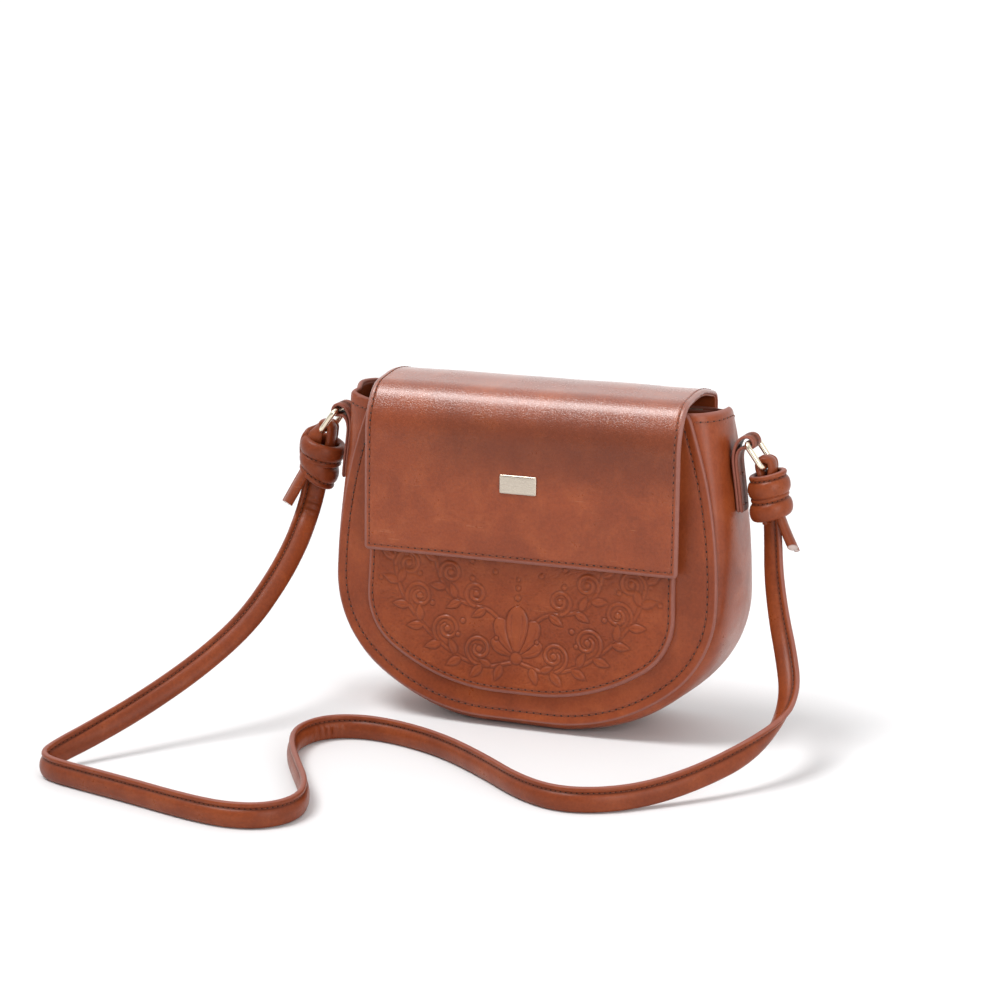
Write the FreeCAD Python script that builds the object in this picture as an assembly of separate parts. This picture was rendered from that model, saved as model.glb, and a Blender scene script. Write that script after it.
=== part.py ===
"""Saddle handbag with a hinged flap, two swinging rings and a knotted strap.

Millimetres. +X is the bag's right side seen from the front, -Y is the front, +Z is up.
The origin is on the floor under the bag.
"""

import FreeCAD, Part
import math
import os

from FreeCAD import Vector

# Body: round-bottomed front and back panels joined by a convex gusset
panel_width = 214.0
panel_top_width = 180.0
rim_height = 170.0
widest_height = 76.0
panel_bottom_height = 5.0
base_flat_width = 36.0
base_radius_share = 1.18
front_foot = 30.5
back_foot = 36.0
front_lean_deg = 4.5
back_lean_deg = 3.5
panel_thick = 2.0
gusset_thick = 1.8
gusset_bulge = 5.5
gusset_top_bulge = 13.0
flange_width = 9.0
section_depth_shares = (0, 0.05, 0.2, 0.5, 0.8, 0.95, 1)
section_bulge_shares = (0, 0.5, 0.85, 1, 0.85, 0.5, 0)
section_drop_shares = (0, 0.7, 1, 1, 1, 0.7, 0)

# Inside: boards behind the panels, a lining and a facing round the mouth
board_thick = 1.2
board_clearance = 0.5
lining_thick = 0.7
lining_gap = 0.2
facing_thick = 1.0
facing_height = 21.0
facing_setback = 1.0
seam_gap = 0.3

# Slip pocket on the front panel
pocket_width = 176.0
pocket_top_drop = 20.0
pocket_bottom_height = 19.4
pocket_corner_height = 69.4
pocket_flat_width = 20.0
pocket_radius_share = 1.41
pocket_thick = 2.6
pocket_slot = 1.0
pocket_seam = 8.0

# Flap: outer leather, board and lining, hinged along the top of its sewn tail
flap_width = 176.0
flap_bottom_height = 91.0
flap_crest_height = 183.5
flap_hinge_height = 165.0
flap_outer_thick = 2.4
flap_board_thick = 0.8
flap_lining_thick = 1.0
flap_board_margin = 8.0
flap_board_height = 50.0
flap_back_gap = 0.3
flap_tail_height = 27.0
flap_front_shares = ((0, 0), (0.036, 0.778), (0.19, 0.957), (0.639, 1), (1, 0.94))
arc_reach_share = 0.45

# Plate on the flap, held by two prongs and a washer
plate_width = 20.5
plate_height = 10.0
plate_thick = 1.0
plate_edge = 0.3
plate_rise = 42.0
prong_spacing = 12.0
prong_radius = 0.6
prong_clearance = 0.1
plate_washer_width = 16.0
plate_washer_height = 6.0
washer_thick = 0.5

# Magnetic snap between the flap and the pocket
snap_rise = 19.0
snap_gap = 0.9
snap_radius = 7.0
snap_socket_thick = 1.5
snap_stud_thick = 1.1
snap_pin_radius = 2.0
snap_pin_length = 0.6
snap_hole_radius = 4.0
snap_hole_depth = 1.1
snap_washer_radius = 6.0
snap_edge = 0.4

# Tabs folded round the rings
tab_width = 11.6
tab_bottom_height = 122.0
tab_root_height = 148.0
tab_layer = 1.6
tab_gap = 0.3
tab_bar_gap = 10.9
tab_bar_height = 159.0

# Rings
ring_wire_radius = 1.5
ring_width = 18.0
ring_length = 14.5
ring_corner_radius = 3.0
ring_clearance = 0.3
ring_tilt_deg = 36.0

# Knots: a loop over the ring, two wraps round it and a tail
loop_layer = 3.6
loop_width = 10.0
loop_length = 34.0
loop_slot_length = 6.0
loop_edge = 1.2
wrap_thick = 5.0
wrap_height = 11.0
wrap_round = 3.4
wrap_clearance = 0.25
wrap_start = 7.6
wrap_gap = 0.3
tail_width = 11.0
tail_thick = 4.5
tail_length = 17.0
tail_edge = 1.6
tail_gap = 0.2
left_knot_tilt_deg = 14.0
right_knot_tilt_deg = 7.0
tail_splay_deg = 22.0

# Strap: a round section of the same area as the padded strap
strap_width = 13.0
strap_thick = 5.3
strap_gap = 1.25
strap_route = (
    (-133, 0, 113.2), (-135.1, -1.2, 104.2), (-135.2, -9.5, 94.8), (-133.2, -25, 86), (-132.5, -48, 73.5),
    (-137, -76, 56), (-150, -104, 39.5), (-167.5, -134, 24.5), (-183.5, -161, 13.5), (-193.5, -180.5, 7.6),
    (-195, -192, 5.4), (-185.5, -200.5, 4.9), (-166, -206, 4.8), (-133, -215, 4.8), (-97, -226, 4.8),
    (-71, -230.5, 4.8), (-52, -224, 4.8), (-44.5, -206, 4.8), (-52, -183, 4.8), (-69, -157, 4.8),
    (-86, -130, 4.8), (-94.5, -106, 4.8), (-89, -85, 4.8), (-70, -76, 4.8), (-44, -80, 4.8),
    (-15, -93, 4.8), (15, -115, 4.8), (42, -138, 4.8), (66, -149, 4.8), (88, -143, 4.8),
    (107, -125.5, 5.8), (126.5, -105.5, 12), (143, -83, 20), (152, -60, 29), (151.5, -40, 40),
    (144.5, -25, 54), (136.5, -13, 70.5), (130.8, -4.5, 90), (128.9, 0, 112.3),
)
strap_floor_first_run = 11
strap_floor_last_run = 29

# One overrun for all cuts
overrun = 40.0

panel_half = panel_width / 2
panel_top_half = panel_top_width / 2
base_flat_half = base_flat_width / 2
flap_thick = flap_outer_thick + flap_lining_thick
pocket_top_height = rim_height - pocket_top_drop
plate_mid_height = flap_bottom_height + plate_rise
snap_height = flap_bottom_height + snap_rise
strap_radius = math.sqrt(strap_width * strap_thick / math.pi)
loop_half = ring_wire_radius + ring_clearance + loop_layer
wrap_bore = math.hypot(loop_half, loop_width / 2) + wrap_clearance
wrap_radius = wrap_bore + wrap_thick
x_axis = Vector(1, 0, 0)
y_axis = Vector(0, 1, 0)


def front_y(height):
    """Y of the plane behind the front panel at a height."""
    return height * math.tan(math.radians(front_lean_deg)) - front_foot


def back_y(height):
    """Y of the plane ahead of the back panel at a height."""
    return back_foot - height * math.tan(math.radians(back_lean_deg))


def gusset_x(height):
    """Half the gusset's width at mid depth, above its widest height."""
    half = panel_half + gusset_bulge
    radius = side_radius(half - panel_top_half - gusset_top_bulge)
    return half - radius + radius * math.sqrt(1 - ((height - widest_height) / radius) ** 2)


def side_radius(inward):
    """Radius of a side that is upright at the widest height and moves inward up to the rim."""
    return ((rim_height - widest_height) ** 2 + inward**2) / (2 * inward)


def on_arc(centre, radius, angle):
    """Point of a circle in the XZ plane."""
    return (centre[0] + radius * math.cos(angle), centre[1] + radius * math.sin(angle))


def round_bottom(half_width, bottom, widest, flat_half, radius_share):
    """Right half of a round bottom, from the flat to the widest point: five points of two tangent arcs."""
    reach = half_width - flat_half
    base_radius = radius_share * reach
    drop = base_radius - widest + bottom
    corner_radius = (base_radius**2 - drop**2 - reach**2) / (2 * (base_radius - reach))
    base_centre = (flat_half, bottom + base_radius)
    corner_centre = (half_width - corner_radius, widest)
    meet = math.atan2(corner_centre[1] - base_centre[1], corner_centre[0] - base_centre[0])
    return [
        (flat_half, bottom),
        on_arc(base_centre, base_radius, (meet - math.pi / 2) / 2),
        on_arc(base_centre, base_radius, meet),
        on_arc(corner_centre, corner_radius, meet / 2),
        (half_width, widest),
    ]


def outline_wire(bottom_points, side_points):
    """Closed wire, mirrored about X = 0, from the right half's arcs and its top."""
    arcs = [bottom_points[0:3], bottom_points[2:5]]
    if len(side_points) == 2:
        arcs.append([bottom_points[4]] + side_points)
    right = [[Vector(x, 0, z) for x, z in arc] for arc in arcs]
    left = [[Vector(-x, 0, z) for x, z in arc] for arc in arcs]
    top = Vector(side_points[-1][0], 0, side_points[-1][1])
    widest = right[1][2]
    edges = [Part.LineSegment(left[0][0], right[0][0])]
    edges += [Part.Arc(*arc) for arc in right]
    if len(side_points) == 1:
        edges.append(Part.LineSegment(widest, top))
    edges.append(Part.LineSegment(top, Vector(-top.x, 0, top.z)))
    if len(side_points) == 1:
        edges.append(Part.LineSegment(Vector(-top.x, 0, top.z), left[1][2]))
    edges += [Part.Arc(arc[2], arc[1], arc[0]) for arc in reversed(left)]
    return Part.Wire([edge.toShape() for edge in edges])


def body_outline(inset=0, bulge_share=0, drop_share=0, top=rim_height):
    """Outline of the body at one depth, drawn in by an inset."""
    half_width = panel_half + gusset_bulge * bulge_share - inset
    inward = panel_half - panel_top_half + (gusset_bulge - gusset_top_bulge) * bulge_share
    bottom = panel_bottom_height * (1 - drop_share) + inset
    radius = side_radius(inward)
    centre = (half_width - radius, widest_height)
    angle = math.asin((top - widest_height) / radius)
    sides = [on_arc(centre, radius, angle / 2), on_arc(centre, radius, angle)]
    lower = round_bottom(half_width, bottom, widest_height, base_flat_half, base_radius_share)
    return outline_wire(lower, sides)


def leaning(shape, foot, lean_deg):
    """A copy of a shape drawn at Y = 0, leant back about the floor line and moved to its foot."""
    copy = shape.copy()
    copy.rotate(Vector(0, 0, 0), x_axis, -lean_deg)
    copy.translate(Vector(0, foot, 0))
    return copy


def body_solid(inset, depth_inset, top=rim_height):
    """Closed form of the body between its two planes: a ruled loft through leaning outlines."""
    wires = []
    front = depth_inset - front_foot
    back = back_foot - depth_inset
    for depth, bulge, drop in zip(section_depth_shares, section_bulge_shares, section_drop_shares):
        foot = front + (back - front) * depth
        lean = front_lean_deg - (front_lean_deg + back_lean_deg) * depth
        wires.append(leaning(body_outline(inset, bulge, drop, top), foot, lean))
    return Part.makeLoft(wires, True, True)


def plate(wire, start, thick):
    """Flat plate of an outline in the XZ plane, from Y = start on."""
    face = Part.Face(wire)
    face.translate(Vector(0, start, 0))
    return face.extrude(Vector(0, thick, 0))


def slab(low, high):
    """Wide level slab between two heights."""
    side = panel_width + 2 * overrun
    return Part.makeBox(side, side, high - low, Vector(-side / 2, -side / 2, low))


def on_front(shape):
    """Shape drawn ahead of Y = 0, set on the front plane."""
    return leaning(shape, -front_foot, front_lean_deg)


def on_back(shape):
    """Shape drawn behind Y = 0, set on the back plane."""
    return leaning(shape, back_foot, -back_lean_deg)


def make_body():
    """Panels, gusset, boards, lining and facing."""
    window = plate(body_outline(flange_width, top=rim_height + overrun), -2 * overrun, 4 * overrun)
    inside = body_solid(gusset_thick, gusset_thick, rim_height + overrun)
    gusset = body_solid(0, 0).cut([inside, window])
    board = body_outline(flange_width + board_clearance, top=rim_height - facing_setback)
    lining_start = gusset_thick + lining_gap
    lining_top = rim_height - facing_setback - facing_height - seam_gap
    sheet = body_outline(lining_start, top=lining_top)
    strip_start = lining_start + lining_thick + lining_gap
    strip = body_solid(lining_start, strip_start, lining_top)
    strip_inside = body_solid(lining_start + lining_thick, strip_start, lining_top + overrun)
    facing_start = lining_start + facing_thick
    facing_top = rim_height - facing_setback
    facing = body_solid(lining_start, lining_start, facing_top)
    facing = facing.cut(body_solid(facing_start, facing_start, rim_height + overrun))
    facing = facing.common(slab(facing_top - facing_height, rim_height + overrun))
    return {
        "front_panel": on_front(plate(body_outline(), -panel_thick, panel_thick)),
        "back_panel": on_back(plate(body_outline(), 0, panel_thick)),
        "gusset": gusset,
        "front_board": on_front(plate(board, 0, board_thick)),
        "back_board": on_back(plate(board, -board_thick, board_thick)),
        "lining_front": on_front(plate(sheet, lining_start, lining_thick)),
        "lining_back": on_back(plate(sheet, -lining_start - lining_thick, lining_thick)),
        "lining_gusset": strip.cut(strip_inside),
        "mouth_facing": facing,
    }


def pocket_outline(inset=0, top=pocket_top_height):
    """Outline of the slip pocket, with upright sides."""
    half = pocket_width / 2 - inset
    bottom = pocket_bottom_height + inset
    flat = pocket_flat_width / 2
    lower = round_bottom(half, bottom, pocket_corner_height, flat, pocket_radius_share)
    return outline_wire(lower, [(half, top)])


def disc(radius, start, thick, height):
    """Round plate facing along Y at a height."""
    return Part.makeCylinder(radius, thick, Vector(0, start, height), y_axis)


def rim_edges(solid, radius):
    """Circular edges of a given radius."""
    return [e for e in solid.Edges if isinstance(e.Curve, Part.Circle) and
            math.isclose(e.Curve.Radius, radius)]


def make_pocket():
    """Slip pocket with the snap's socket and washer."""
    face = -panel_thick - pocket_thick
    pocket = plate(pocket_outline(), face, pocket_thick)
    slot_top = pocket_top_height + overrun
    pocket = pocket.cut(plate(pocket_outline(pocket_seam, slot_top), -panel_thick - pocket_slot, pocket_slot))
    socket = disc(snap_radius, face - snap_socket_thick, snap_socket_thick, snap_height)
    front = [e for e in rim_edges(socket, snap_radius) if e.Curve.Center.y < face]
    socket = socket.makeFillet(snap_edge, front)
    socket = socket.cut(disc(snap_hole_radius, face - snap_socket_thick, snap_hole_depth, snap_height))
    washer = disc(snap_washer_radius, -panel_thick - pocket_slot, washer_thick, snap_height)
    washer = washer.cut(disc(snap_hole_radius, -panel_thick - pocket_slot, washer_thick, snap_height))
    return {
        "front_pocket": on_front(pocket),
        "snap_socket": on_front(socket),
        "snap_socket_washer": on_front(washer),
    }


def corner(before, point, after):
    """Tangent arc of a route's corner: start, middle, end, radius and turn."""
    back = before - point
    ahead = after - point
    reach = arc_reach_share * min(back.Length, ahead.Length)
    turn = math.pi - back.getAngle(ahead)
    radius = reach / math.tan(turn / 2)
    back.normalize()
    ahead.normalize()
    towards = (back + ahead).normalize()
    middle = point + towards * (radius / math.cos(turn / 2) - radius)
    return point + back * reach, middle, point + ahead * reach, radius, turn


def flap_points():
    """Corners of the flap's outer profile, from its front edge over the crest to the hinge.

    The front stands off the pocket by the height of the closed snap.
    """
    rear = back_y(flap_hinge_height) + panel_thick + flap_back_gap + flap_thick
    rise = flap_crest_height - flap_bottom_height
    snap_stack = snap_socket_thick + snap_gap + snap_stud_thick
    at_snap = front_y(snap_height) - panel_thick - pocket_thick - snap_stack - flap_thick
    depth_share, height_share = flap_front_shares[1]
    snap_share = depth_share / height_share * snap_rise / rise
    front = (at_snap - rear * snap_share) / (1 - snap_share)
    points = [Vector(0, front + (rear - front) * depth, flap_bottom_height + rise * height)
              for depth, height in flap_front_shares]
    return points + [Vector(0, rear, flap_hinge_height)]


def flap_layer(points, start, end, width):
    """A layer of the flap between two depths below its outer profile, as wide as given."""
    stops = [points[0]]
    for before, point, after in zip(points, points[1:], points[2:]):
        stops += corner(before, point, after)[:3]
    stops.append(points[-1])
    runs = [(b - a).normalize() for a, b in zip(points, points[1:])]
    inward = [x_axis.cross(run) * -1 for run in runs]
    normals = [inward[0]]
    for a, b in zip(inward, inward[1:]):
        normals += [a, (a + b).normalize(), b]
    normals.append(inward[-1])
    edges = []
    ends = []
    for depth in (start, end):
        line = [stop + normal * depth for stop, normal in zip(stops, normals)]
        ends.append((line[0], line[-1]))
        for i in range(0, len(line) - 1, 3):
            edges.append(Part.LineSegment(line[i], line[i + 1]))
            if i + 3 < len(line):
                edges.append(Part.Arc(*line[i + 1:i + 4]))
    edges += [Part.LineSegment(ends[0][k], ends[1][k]) for k in (0, 1)]
    wire = Part.Wire(Part.__sortEdges__([edge.toShape() for edge in edges]))
    solid = Part.Face(wire).extrude(Vector(width, 0, 0))
    solid.translate(Vector(-width / 2, 0, 0))
    return solid


def on_flap(shape, height):
    """Shape drawn with its outer face at Y = 0 and centred on Z = 0, set on the flap's front at a height."""
    low, high = flap_points()[:2]
    lean = math.degrees(math.atan2(high.y - low.y, high.z - low.z))
    share = (height - low.z) / (high.z - low.z)
    copy = shape.copy()
    copy.rotate(Vector(0, 0, 0), x_axis, -lean)
    copy.translate(low + (high - low) * share)
    return copy


def make_flap():
    """Flap layers with the plate, its washer, and the snap's stud and washer."""
    points = flap_points()
    board_depth = flap_outer_thick - flap_board_thick
    run = (points[1] - points[0]).normalize()
    board_line = [points[0] + run * flap_board_margin]
    board_line.append(board_line[0] + run * flap_board_height)
    board = flap_layer(board_line, board_depth, flap_outer_thick, flap_width - 2 * flap_board_margin)
    plate_block = Part.makeBox(plate_width, plate_thick, plate_height,
                               Vector(-plate_width / 2, -plate_thick, -plate_height / 2))
    front_edges = [e for e in plate_block.Edges if e.BoundBox.YMax < 0]
    plate_block = plate_block.makeFillet(plate_edge, front_edges)
    prongs = [Part.makeCylinder(prong_radius, flap_outer_thick, Vector(x, 0, 0), y_axis)
              for x in (-prong_spacing / 2, prong_spacing / 2)]
    holes = [Part.makeCylinder(prong_radius + prong_clearance, flap_outer_thick, Vector(x, 0, 0), y_axis)
             for x in (-prong_spacing / 2, prong_spacing / 2)]
    holes = [on_flap(hole, plate_mid_height) for hole in holes]
    plate_washer = Part.makeBox(plate_washer_width, washer_thick, plate_washer_height,
                                Vector(-plate_washer_width / 2, flap_outer_thick, -plate_washer_height / 2))
    stud = disc(snap_radius, flap_thick, snap_stud_thick, 0)
    stud = stud.fuse(disc(snap_pin_radius, flap_thick + snap_stud_thick, snap_pin_length, 0)).removeSplitter()
    stud_washer = disc(snap_washer_radius, flap_outer_thick, washer_thick, 0)
    plate_washer = on_flap(plate_washer, plate_mid_height)
    stud_washer = on_flap(stud_washer, snap_height)
    outer = flap_layer(points, 0, flap_outer_thick, flap_width)
    lining = flap_layer(points, flap_outer_thick, flap_thick, flap_width)
    tail = Part.makeBox(flap_width, flap_thick, flap_tail_height,
                        Vector(-flap_width / 2, panel_thick, flap_hinge_height - flap_tail_height - seam_gap))
    return {
        "flap_outer": outer.cut([board] + holes),
        "flap_board": board.cut(holes),
        "flap_lining": lining.cut([plate_washer, stud_washer]),
        "flap_tail": on_back(tail),
        "front_plate": on_flap(plate_block.fuse(prongs), plate_mid_height),
        "plate_washer": plate_washer,
        "snap_stud": on_flap(stud, snap_height),
        "snap_stud_washer": stud_washer,
    }


def touch_point(point, centre, radius, side):
    """Point where a line from a point touches a circle in the XZ plane, on one side of it."""
    across = point - centre
    angle = math.atan2(across.z, across.x) + side * math.acos(radius / across.Length)
    return centre + Vector(math.cos(angle), 0, math.sin(angle)) * radius


def ring_bar():
    """Middle of the right ring's upper bar."""
    return Vector(gusset_x(tab_bar_height) + tab_bar_gap, 0, tab_bar_height)


def hanging(tilt_deg):
    """Direction out and down from the right side, at an angle to the upright."""
    tilt = math.radians(tilt_deg)
    return Vector(math.sin(tilt), 0, -math.cos(tilt))


def knot_top():
    """Middle of the right ring's lower bar."""
    return ring_bar() + hanging(ring_tilt_deg) * ring_length


def make_tab():
    """Right tab: two layers lying on the gusset, folded round the ring's upper bar."""
    bar = ring_bar()
    bore = ring_wire_radius + ring_clearance
    low = Vector(gusset_x(tab_bottom_height) + tab_gap, 0, tab_bottom_height)
    root = Vector(gusset_x(tab_root_height) + tab_gap, 0, tab_root_height)
    out = (root - low).normalize().cross(y_axis) * -2 * tab_layer
    inner = touch_point(root, bar, bore + tab_layer, -1)
    outer = touch_point(root + out, bar, bore + tab_layer, 1)
    outline = [low, root, inner, bar, outer, root + out, low + out, low]
    half = Vector(0, tab_width / 2, 0)
    leaf = Part.Face(Part.makePolygon(outline)).extrude(half * 2)
    leaf.translate(half * -1)
    eye = Part.makeCylinder(bore + tab_layer, tab_width, bar - half, y_axis)
    hole = Part.makeCylinder(bore, tab_width, bar - half, y_axis)
    return leaf.fuse(eye).removeSplitter().cut(hole)


def make_ring():
    """Right ring: a rounded rectangle of wire, hanging out and down from its upper bar."""
    half = ring_width / 2
    r = ring_corner_radius
    inset = r * (1 - math.cos(math.pi / 4))
    corners = [(0, -half, 1, 1), (0, half, 1, -1), (ring_length, half, -1, -1), (ring_length, -half, -1, 1)]
    edges = []
    stops = []
    for down, across, in_down, in_across in corners:
        ends = [(down + r * in_down, across), (down, across + r * in_across)]
        if in_down != in_across:
            ends.reverse()
        middle = (down + inset * in_down, across + inset * in_across)
        arc = [Vector(0, v, -u) for u, v in (ends[0], middle, ends[1])]
        edges.append(Part.Arc(*arc))
        stops.append((arc[0], arc[2]))
    for (_, end), (start, _) in zip(stops, stops[1:] + stops[:1]):
        edges.append(Part.LineSegment(end, start))
    path = Part.Wire(Part.__sortEdges__([edge.toShape() for edge in edges]))
    start = path.Edges[0].Vertexes[0].Point
    heading = path.Edges[0].tangentAt(path.Edges[0].FirstParameter)
    section = Part.Wire([Part.makeCircle(ring_wire_radius, start, heading)])
    ring = path.makePipeShell([section], True, False)
    ring.rotate(Vector(0, 0, 0), y_axis, -ring_tilt_deg)
    ring.translate(ring_bar())
    return ring


def make_knot(tilt_deg):
    """Right knot hanging from the ring's lower bar: loop, wraps and tail."""
    slot_half = ring_wire_radius + ring_clearance
    half = Vector(0, loop_width / 2, 0)
    bar = Vector(0, 0, 0)
    loop = Part.makeBox(2 * loop_half, loop_width, loop_length, Vector(-loop_half, -half.y, -loop_length))
    loop = loop.fuse(Part.makeCylinder(loop_half, loop_width, bar - half, y_axis)).removeSplitter()
    sides = [e for e in loop.Edges if math.isclose(abs(e.CenterOfMass.y), half.y)]
    sides = [e for e in sides if not math.isclose(e.CenterOfMass.z, -loop_length)]
    loop = loop.makeFillet(loop_edge, sides)
    slot = Part.makeBox(2 * slot_half, loop_width, loop_slot_length,
                        Vector(-slot_half, -half.y, -loop_slot_length))
    loop = loop.cut([slot, Part.makeCylinder(slot_half, loop_width, bar - half, y_axis)])
    pieces = {"knot_loop": loop}
    start = wrap_start
    for name in ("knot_upper_wrap", "knot_lower_wrap"):
        bottom = Vector(0, 0, -start - wrap_height)
        wrap = Part.makeCylinder(wrap_radius, wrap_height, bottom)
        wrap = wrap.makeFillet(wrap_round, rim_edges(wrap, wrap_radius))
        pieces[name] = wrap.cut(Part.makeCylinder(wrap_bore, wrap_height, bottom))
        start += wrap_height + wrap_gap
    tail_top = start - wrap_gap + tail_gap
    tail = Part.makeBox(tail_thick, tail_width, tail_length, Vector(0, -tail_width / 2, -tail_length))
    tail = tail.makeFillet(tail_edge, [e for e in tail.Edges if e.BoundBox.ZLength > tail_width])
    tail.rotate(Vector(0, 0, 0), y_axis, -tail_splay_deg)
    lift = tail_thick * math.sin(math.radians(tail_splay_deg))
    tail.translate(Vector(loop_half + wrap_clearance, 0, -tail_top - lift))
    pieces["strap_tail"] = tail
    for piece in pieces.values():
        piece.rotate(Vector(0, 0, 0), y_axis, -tilt_deg)
        piece.translate(knot_top())
    return pieces


def hung_route():
    """Route of the strap, its drops moved with the knots by their height above the floor run."""
    left, right = [knot_top() + hanging(tilt) * (loop_length + strap_gap)
                   for tilt in (left_knot_tilt_deg, right_knot_tilt_deg)]
    left.x = -left.x
    drawn = [Vector(*point) for point in strap_route]
    floor = min(point.z for point in drawn)
    points = []
    for point in drawn:
        end, new_end = (drawn[0], left) if point.x < 0 else (drawn[-1], right)
        points.append(point + (new_end - end) * ((point.z - floor) / (end.z - floor)))
    return points


def make_strap():
    """Free strap between the knots: a tube along straight runs joined by tangent arcs, in three stretches."""
    points = hung_route()
    arcs = [corner(*trio) for trio in zip(points, points[1:], points[2:])]
    print("strap arc radii:", " ".join("%.0f" % arc[3] for arc in arcs))
    starts = [points[0]] + [arc[2] for arc in arcs]
    ends = [arc[0] for arc in arcs] + [points[-1]]
    cuts = [0, strap_floor_first_run, strap_floor_last_run, len(starts) - 1]
    pieces = {}
    total = 0
    for name, first, last in zip(("strap_left_drop", "strap_floor_run", "strap_right_drop"), cuts, cuts[1:]):
        edges = []
        for i in range(first, last + 1):
            middle = (starts[i] + ends[i]) * 0.5
            begin = middle if i == first and i > 0 else starts[i]
            end = middle if i == last and i < cuts[-1] else ends[i]
            edges.append(Part.LineSegment(begin, end).toShape())
            if i < last:
                edges.append(Part.Arc(*arcs[i][:3]).toShape())
        path = Part.Wire(edges)
        begin = edges[0].Vertexes[0].Point
        heading = edges[0].tangentAt(edges[0].FirstParameter)
        section = Part.Wire([Part.makeCircle(strap_radius, begin, heading)])
        tube = path.makePipeShell([section], True, False)
        expected = math.pi * strap_radius**2 * path.Length
        print("%s: length %.1f, volume share %.4f" % (name, path.Length, tube.Volume / expected))
        total += path.Length
        pieces[name] = tube
    print("free strap length: %.1f" % total)
    return pieces


def main():
    """Build every piece and write one file for each."""
    pieces = {}
    pieces.update(make_body())
    pieces.update(make_pocket())
    pieces.update(make_flap())
    mirror = (Vector(0, 0, 0), x_axis)
    pieces["right_tab"] = make_tab()
    pieces["left_tab"] = make_tab().mirror(*mirror)
    pieces["right_ring"] = make_ring()
    pieces["left_ring"] = make_ring().mirror(*mirror)
    for name, solid in make_knot(right_knot_tilt_deg).items():
        pieces["right_" + name] = solid
    for name, solid in make_knot(left_knot_tilt_deg).items():
        pieces["left_" + name] = solid.mirror(*mirror)
    pieces.update(make_strap())
    os.makedirs("parts", exist_ok=True)
    for name, solid in pieces.items():
        solid.exportStep("parts/" + name + ".step")
        box = solid.BoundBox
        print("%s: %d solid, valid %s, volume %.0f, z %.2f to %.2f"
              % (name, len(solid.Solids), solid.isValid(), solid.Volume, box.ZMin, box.ZMax))


main()
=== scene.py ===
"""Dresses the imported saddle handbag: leather, sewing, lining, hardware, knotted strap, pale stage.

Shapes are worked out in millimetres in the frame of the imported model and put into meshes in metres.
+X is the bag's right side seen from the front, -Y is the front, +Z is up, the floor is Z = 0.
"""
import math

import bmesh
import bpy
import numpy as np
from bpy.props import FloatProperty, FloatVectorProperty, PointerProperty
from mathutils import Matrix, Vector


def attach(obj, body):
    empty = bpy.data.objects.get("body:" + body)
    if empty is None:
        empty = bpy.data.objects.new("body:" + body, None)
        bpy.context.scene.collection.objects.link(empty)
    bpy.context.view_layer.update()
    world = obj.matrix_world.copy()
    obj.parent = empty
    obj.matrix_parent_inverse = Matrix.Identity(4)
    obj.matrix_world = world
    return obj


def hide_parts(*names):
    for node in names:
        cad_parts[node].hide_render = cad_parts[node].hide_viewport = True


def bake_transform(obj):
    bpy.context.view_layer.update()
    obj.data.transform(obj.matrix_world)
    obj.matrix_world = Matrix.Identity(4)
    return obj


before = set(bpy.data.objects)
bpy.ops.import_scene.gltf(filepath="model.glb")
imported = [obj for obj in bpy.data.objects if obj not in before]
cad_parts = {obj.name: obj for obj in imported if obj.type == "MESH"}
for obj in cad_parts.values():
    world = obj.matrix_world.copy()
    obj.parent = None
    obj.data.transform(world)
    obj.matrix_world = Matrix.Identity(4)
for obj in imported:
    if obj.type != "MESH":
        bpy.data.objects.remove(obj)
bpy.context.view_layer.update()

bl_info = {
    "name": "Saddle handbag",
    "version": (1, 0, 0),
    "blender": (4, 5, 0),
    "location": "3D View > Sidebar > Handbag",
    "description": "Leather, sewing, lining, hardware and strap of a small saddle handbag",
    "category": "Object",
}

MM = 0.001
SIDES = (("right", 1), ("left", -1))

# Joins of mesh points in metres, and the angle from which an edge is sharp
MERGE, SLIVER, SHARP = 0.000004, 0.000001, math.radians(70.0)

# Body, as in the part
PANEL_HALF, PANEL_TOP_HALF, PANEL_THICK = 107.0, 90.0, 2.0
RIM, WIDEST, PANEL_BOTTOM = 170.0, 76.0, 5.0
BASE_FLAT_HALF, BASE_SHARE = 18.0, 1.18
FRONT_FOOT, BACK_FOOT = 30.5, 36.0
FRONT_LEAN, BACK_LEAN = math.radians(4.5), math.radians(3.5)
GUSSET_THICK, GUSSET_BULGE, GUSSET_TOP_BULGE = 1.8, 5.5, 13.0
LINING_TOP, LINING_INSET, LINING_THICK, LINING_BEHIND = 147.5, 2.2, 0.7, 2.1
FACING_LOW, FACING_HIGH, MOUTH_DEPTH = 148.0, 169.0, 44.0

# The right front corner of the rim is drawn up, and in by a share of that
CORNER_LIFT, CORNER_SLOPE = 5.2, 0.375

# Pocket, flap, plate, tabs, rings and knots, as in the part
POCKET_HALF, POCKET_TOP, POCKET_BOTTOM, POCKET_WIDEST = 88.0, 150.0, 19.4, 69.4
POCKET_FLAT_HALF, POCKET_SHARE, POCKET_THICK = 10.0, 1.41, 2.6
POCKET_SHIFT, POCKET_DRAW = np.array((-1.4, 0.0, 0.0)), 0.022
FLAP_HALF, FLAP_BOTTOM, FLAP_CREST, HINGE_HEIGHT = 88.0, 91.0, 183.5, 165.0
FLAP_OUTER, FLAP_LINING, LINING_MARGIN = 2.4, 1.0, 0.7
FLAP_SHARES = ((0, 0), (0.036, 0.778), (0.19, 0.957), (0.639, 1), (1, 0.94))
FLAP_FRONT_Y, FLAP_REAR_Y = -33.97, 31.608
TAIL_TOP, TAIL_HEIGHT = 4.0, 27.0
PLATE_HALF, PLATE_RISE, PLATE_CORNER = np.array((10.25, 5.0)), 42.0, 0.7
SNAP_RISE = 19.0
TAB_HALF, TAB_LAYER, TAB_MARGIN = 5.8, 1.6, 0.6
BAR = np.array((116.01, 0.0, 159.0))
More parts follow.
